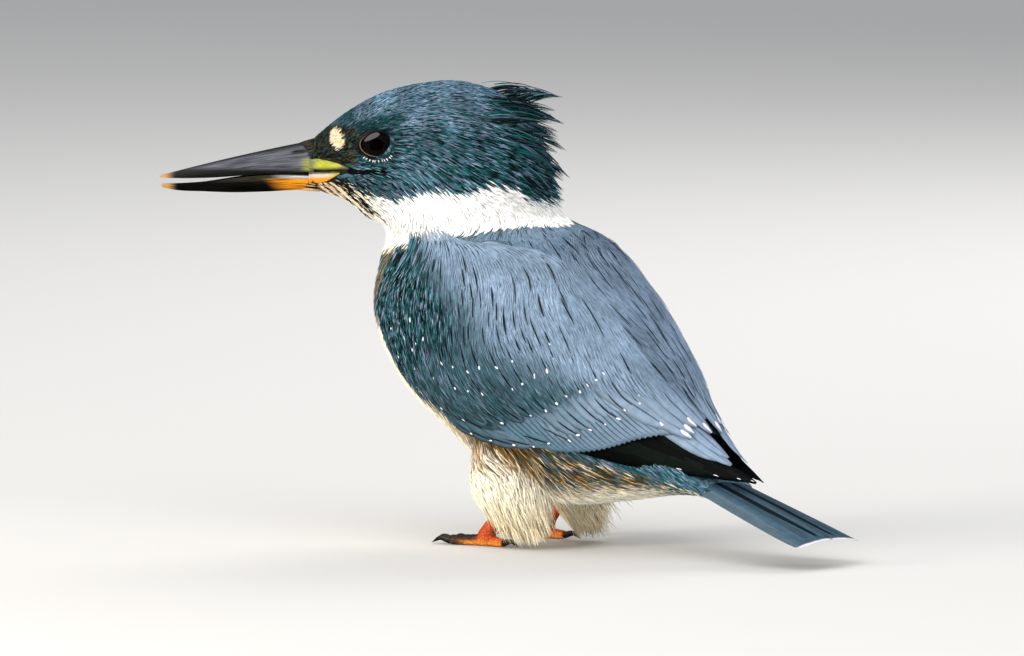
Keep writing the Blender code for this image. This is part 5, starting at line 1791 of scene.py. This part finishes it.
def make_feet():
    """Feet of scaled toes joined at their roots, orange below and behind and dark in front, and
    smooth black claws."""
    for word, side in SIDES.items():
        mirror = np.array([side, 1.0, 1.0])
        shells = []
        shank = splined(SHANK, np.linspace(0, 2, TOE_RINGS))
        girth = np.interp(np.linspace(0, 1, TOE_RINGS), [0, 0.5, 0.8, 1], [2.6, 2.2, 2.2, 2.6])
        shells.append(closed_loft(tube(shank, plated(girth, 11), 20, floor=0.0) * mirror))
        for name, (heading, length, root, end) in TOES.items():
            path, radii, ahead = toe_line(heading, length, root, end, TOE_RINGS)
            shells.append(closed_loft(tube(path, plated(radii, 7), 18, floor=0.0) * mirror))
            tip = path[-1] + ahead * 0.1
            hook = [tip, tip + ahead * CLAW_LENGTH * 0.55 + [0, 0, 0.75],
                    tip + ahead * CLAW_LENGTH * 1.05 + [0, 0, 0.3 - tip[2]]]
            hook = splined(hook, np.linspace(0, 2, CLAW_RINGS))
            size = np.interp(np.linspace(0, 1, CLAW_RINGS), [0, 0.3, 0.7, 1], [1.25, 1.1, 0.65, 0.06])
            solid = f"claw_{name}_{word}"
            claw = joined(solid + "_horn", [closed_loft(tube(hook, size, 14, 0.9, 0.0) * mirror)])
            piece_of(solid + "_horn", claw, finish("claw_horn"), (solid,))
        lift = np.linspace(0.0, 6.2, PAD_RINGS)
        pad = np.stack([np.full(PAD_RINGS, ANKLE[0]), np.full(PAD_RINGS, ANKLE[1]), lift], -1)
        shells.append(closed_loft(tube(pad, 3.2 * np.sqrt(1 - ((lift - 2.6) / 3.8) ** 2), 20) * mirror))
        mesh = joined("scaled_foot_" + word, shells)
        foot = piece_of("scaled_foot_" + word, mesh, finish("scaled_skin"), ("foot_" + word,))
        made = remeshed(foot, FOOT_VOXEL)
        places = places_of(made)
        places[:, 2] = np.maximum(places[:, 2], 0.02)
        made.vertices.foreach_set("co", ((places + ORIGIN) * MM).astype(np.float32).ravel())
        normals = np.empty(len(made.vertices) * 3, np.float32)
        made.vertices.foreach_get("normal", normals)
        facing = normals.reshape(-1, 3)
        _, y, z = places.T
        orange = blend(np.tile(ink(208, 84, 30), (len(places), 1)), ink(226, 140, 44), smooth(3.0, 0.6, z))
        dark = smooth(-0.25, 0.5, facing[:, 2]) * smooth(0.5, -5.0, y) * 0.96
        dark = np.maximum(dark, smooth(-5.0, -11.0, y) * 0.92)
        dark = np.maximum(dark, smooth(-0.2, -0.9, facing[:, 1]) * 0.8 * smooth(3, 6, z))
        point_colour(made, "Tint", blend(orange, ink(30, 32, 28), dark))


# ---------------------------------------------------------------- stage

VIEW_AZIMUTH, VIEW_ELEVATION = math.radians(128), math.radians(5.5)
AIM = (-1.87, 71.1)           # how far right of and above the bird's origin the view's middle is
VIEW_WIDTH = 341.3            # what the view takes in at the bird, in millimetres
FLOOR_REACH, FLOOR_DROP = 90.0, 0.0002    # metres from the middle to each side, and below the feet
# metres right of the bird, towards the camera and up; the lamp's size in metres; its colour
LAMPS = {"key": ((-0.85, 0.75, 1.35), 2.8, (1.0, 1.0, 1.0)),
         "bounce": ((-1.1, 0.65, 0.13), 0.36, (1.0, 0.91, 0.78)),
         "fill": ((0.9, 1.3, 0.35), 1.4, (1.0, 1.0, 1.0)),
         "rim": ((0.5, -1.1, 1.0), 0.9, (1.0, 1.0, 1.0))}


def make_stage():
    """A pale floor, a soft key light over the bird's left shoulder, a low warm one that stands for
    light thrown up by the ground, a wide fill, a rim light behind and an even sky."""
    settings = bpy.context.scene.kingfisher_stage
    scene = bpy.context.scene
    right = np.array([math.cos(VIEW_AZIMUTH), math.sin(VIEW_AZIMUTH), 0.0])
    back = np.array([math.sin(VIEW_AZIMUTH) * math.cos(VIEW_ELEVATION),
                     -math.cos(VIEW_AZIMUTH) * math.cos(VIEW_ELEVATION), math.sin(VIEW_ELEVATION)])
    up = np.cross(back, right)
    target = (right * AIM[0] + up * AIM[1] + ORIGIN) * MM
    camera = bpy.data.cameras.new("camera")
    camera.sensor_width = 36.0
    camera.lens = camera.sensor_width * settings.camera_distance / (VIEW_WIDTH * MM)
    camera.clip_start, camera.clip_end = 0.1, 400.0
    holder = bpy.data.objects.new("camera", camera)
    holder.matrix_world = placed(target + back * settings.camera_distance, right, up, back)
    scene.collection.objects.link(holder)
    scene.camera = holder
    corners = np.array([(-1, -1, 0), (1, -1, 0), (1, 1, 0), (-1, 1, 0)]) * FLOOR_REACH
    mesh = bpy.data.meshes.new("floor")
    mesh.from_pydata((corners - [0, 0, FLOOR_DROP]).tolist(), [], [(0, 1, 2, 3)])
    floor_finish = Finish("pale_floor", roughness=0.8, specular_ior_level=0.2)
    cloud = floor_finish.noise(3.0, 3.0)
    pale = tuple(settings.floor_colour)
    floor_finish.feed("Base Color", floor_finish.mix(cloud * 0.10, pale, tuple(0.9 * v for v in pale)))
    mesh.materials.append(floor_finish.material)
    floor = bpy.data.objects.new("floor", mesh)
    scene.collection.objects.link(floor)
    floor.visible_glossy = False
    for name, ((aside, ahead, above), size, colour) in LAMPS.items():
        lamp = bpy.data.lights.new(name, "AREA")
        lamp.shape, lamp.size, lamp.color = "DISK", size, colour
        lamp.energy = getattr(settings, name + "_power")
        holder = bpy.data.objects.new(name, lamp)
        spot = right * aside + back * ahead + UPWARDS * above
        away = unit(spot)
        beside = unit(np.cross(UPWARDS, away))
        holder.matrix_world = placed(target + spot, beside, np.cross(away, beside), away)
        holder.visible_camera = False
        holder.visible_glossy = name == "key"
        scene.collection.objects.link(holder)
    world = bpy.data.worlds.new("studio")
    world.use_nodes = True
    sky = world.node_tree.nodes["Background"]
    sky.inputs["Color"].default_value = (*settings.sky_colour, 1.0)
    sky.inputs["Strength"].default_value = settings.sky_strength
    scene.world = world
    world.cycles_visibility.glossy = False
    scene.view_settings.view_transform = "Standard"


def placed(spot, right, up, back):
    """A matrix of three axes and a place."""
    return Matrix([(*row, at) for row, at in zip(zip(right, up, back), spot)] + [(0, 0, 0, 1)])


# ---------------------------------------------------------------- settings, operators and panel

def colour_of(name, description, rgb):
    """A colour's setting. Its default is given as on a screen, from 0 to 255."""
    return FloatVectorProperty(name=name, description=description, subtype="COLOR", size=3,
                               min=0.0, max=1.0, default=tuple(float(v) for v in ink(*rgb)))


def count_of(name, description, default, low, high):
    """A setting of how many there are."""
    return IntProperty(name=name, description=description, default=default, min=low, max=high)


def length_of(name, description, default, low, high):
    """A length's setting, in metres."""
    return FloatProperty(name=name, description=description, default=default, min=low, max=high,
                         precision=4, subtype="DISTANCE", unit="LENGTH")


def power_of(name, description, default):
    """A light's power, in watts."""
    return FloatProperty(name=name, description=description, default=default, min=0.0, max=500.0,
                         subtype="POWER", unit="POWER")


class KingfisherPlumage(bpy.types.PropertyGroup):
    """The plumage's colours and how many feathers each coat has."""
    slate: colour_of("Slate", "Blue-grey of crown and coverts", (86, 118, 138))
    pale_slate: colour_of("Pale slate", "Lighter blue-grey of back and shoulders", (130, 150, 172))
    teal: colour_of("Teal", "Green-blue of cheeks and wing bend", (18, 92, 92))
    dusk: colour_of("Dusk", "Near-black of streaks", (16, 28, 34))
    white: colour_of("White", "Collar and belly", (253, 252, 249))
    cream: colour_of("Cream", "Lores, throat and vent", (254, 236, 198))
    rust: colour_of("Rust", "Golden brown of breast sides and flanks", (150, 112, 52))
    head_locks: count_of("Head locks", "Locks on each quarter of head and collar", 8200, 100, 9900)
    bristles: count_of("Bristles", "Short feathers over the base of the bill", 900, 10, 5000)
    crest_strands: count_of("Crest strands", "Strands in each lock of the crest", 34, 4, 70)
    body_locks: count_of("Body locks", "Locks on each half of breast and belly", 7200, 100, 9900)
    thigh_locks: count_of("Thigh locks", "Locks on each thigh", 2000, 50, 4900)
    shoulder_spacing: length_of("Shoulder spacing", "Between shoulder feathers", 0.0056, 0.002, 0.02)
    covert_spacing: length_of("Covert spacing", "Between small coverts in a row", 0.0037, 0.002, 0.02)
    mantle_spacing: length_of("Mantle spacing", "Between the upper back's feathers", 0.005, 0.002, 0.02)
    wing_wisps: count_of("Wing wisps", "Frayed barbs laid over each wing", 8000, 0, 9900)
    mantle_wisps: count_of("Mantle wisps", "Frayed barbs laid over the upper back", 6500, 0, 9900)
    skin_voxel: length_of("Skin detail", "Edge of the voxels that join the skin", 0.0011, 0.0005, 0.005)


class KingfisherStage(bpy.types.PropertyGroup):
    """The studio's lights, floor and camera."""
    camera_distance: length_of("Camera distance", "From the camera to the bird", 8.0, 1.0, 50.0)
    floor_colour: colour_of("Floor", "Colour of the plain floor", (212, 210, 206))
    sky_colour: colour_of("Sky", "Colour of the even light from all round", (232, 236, 244))
    sky_strength: FloatProperty(name="Sky strength", description="Strength of the even light",
                                default=0.60, min=0.0, max=10.0)
    key_power: power_of("Key light", "Power of the main soft light", 32.0)
    fill_power: power_of("Fill light", "Power of the light beside the camera", 14.0)
    bounce_power: power_of("Bounce light", "Power of the low warm light before the bird", 14.0)
    rim_power: power_of("Rim light", "Power of the light behind the bird", 10.0)


class KINGFISHER_OT_skin(bpy.types.Operator):
    """Make the one closed skin under the plumage"""
    bl_idname, bl_label = "kingfisher.skin", "Skin"

    def execute(self, context):
        make_skin()
        return {"FINISHED"}


class KINGFISHER_OT_head(bpy.types.Operator):
    """Lay the locks of head, throat and collar, and the crest"""
    bl_idname, bl_label = "kingfisher.head", "Head plumage"

    def execute(self, context):
        make_head_coat()
        make_bristles()
        make_crest()
        return {"FINISHED"}


class KINGFISHER_OT_body(bpy.types.Operator):
    """Lay the locks of breast, belly, flanks, vent and thighs"""
    bl_idname, bl_label = "kingfisher.body", "Body plumage"

    def execute(self, context):
        make_body_coats()
        make_thigh_coats()
        return {"FINISHED"}


class KINGFISHER_OT_back(bpy.types.Operator):
    """Lay the webbed feathers of mantle and wings"""
    bl_idname, bl_label = "kingfisher.back", "Back and wings"

    def execute(self, context):
        make_mantle()
        make_wing_coats()
        make_flight_feathers()
        return {"FINISHED"}


class KINGFISHER_OT_tail(bpy.types.Operator):
    """Make the twelve tail feathers"""
    bl_idname, bl_label = "kingfisher.tail", "Tail"

    def execute(self, context):
        make_tail()
        return {"FINISHED"}


class KINGFISHER_OT_bill(bpy.types.Operator):
    """Make both mandibles and the gape"""
    bl_idname, bl_label = "kingfisher.bill", "Bill"

    def execute(self, context):
        make_bill()
        make_gape()
        return {"FINISHED"}


class KINGFISHER_OT_eyes(bpy.types.Operator):
    """Make the eyeballs and the folds round them"""
    bl_idname, bl_label = "kingfisher.eyes", "Eyes and lids"

    def execute(self, context):
        make_eyes()
        make_lids()
        return {"FINISHED"}


class KINGFISHER_OT_feet(bpy.types.Operator):
    """Make the scaled feet and the claws"""
    bl_idname, bl_label = "kingfisher.feet", "Feet"

    def execute(self, context):
        make_feet()
        return {"FINISHED"}


class KINGFISHER_OT_stage(bpy.types.Operator):
    """Set the floor, the lights and the camera"""
    bl_idname, bl_label = "kingfisher.stage", "Stage"

    def execute(self, context):
        make_stage()
        return {"FINISHED"}


OPERATORS = (KINGFISHER_OT_skin, KINGFISHER_OT_head, KINGFISHER_OT_body, KINGFISHER_OT_back,
             KINGFISHER_OT_tail, KINGFISHER_OT_bill, KINGFISHER_OT_eyes, KINGFISHER_OT_feet,
             KINGFISHER_OT_stage)


class KINGFISHER_PT_panel(bpy.types.Panel):
    """The kingfisher's settings and steps."""
    bl_label = "Belted Kingfisher"
    bl_space_type = "VIEW_3D"
    bl_region_type = "UI"
    bl_category = "Kingfisher"

    def draw(self, context):
        for group in (context.scene.kingfisher_plumage, context.scene.kingfisher_stage):
            box = self.layout.box()
            for name in type(group).__annotations__:
                box.prop(group, name)
        for made in OPERATORS:
            self.layout.operator(made.bl_idname)


CLASSES = (KingfisherPlumage, KingfisherStage, *OPERATORS, KINGFISHER_PT_panel)


def register():
    """Adds the settings, the steps and the panel."""
    for made in CLASSES:
        bpy.utils.register_class(made)
    bpy.types.Scene.kingfisher_plumage = PointerProperty(type=KingfisherPlumage)
    bpy.types.Scene.kingfisher_stage = PointerProperty(type=KingfisherStage)


def unregister():
    """Takes them away again."""
    del bpy.types.Scene.kingfisher_stage
    del bpy.types.Scene.kingfisher_plumage
    for made in reversed(CLASSES):
        bpy.utils.unregister_class(made)


def main():
    """Makes the bird and its stage step by step."""
    register()
    for made in OPERATORS:
        getattr(bpy.ops.kingfisher, made.bl_idname.split(".")[1])()
    bpy.context.view_layer.update()


if __name__ == "__main__":
    main()
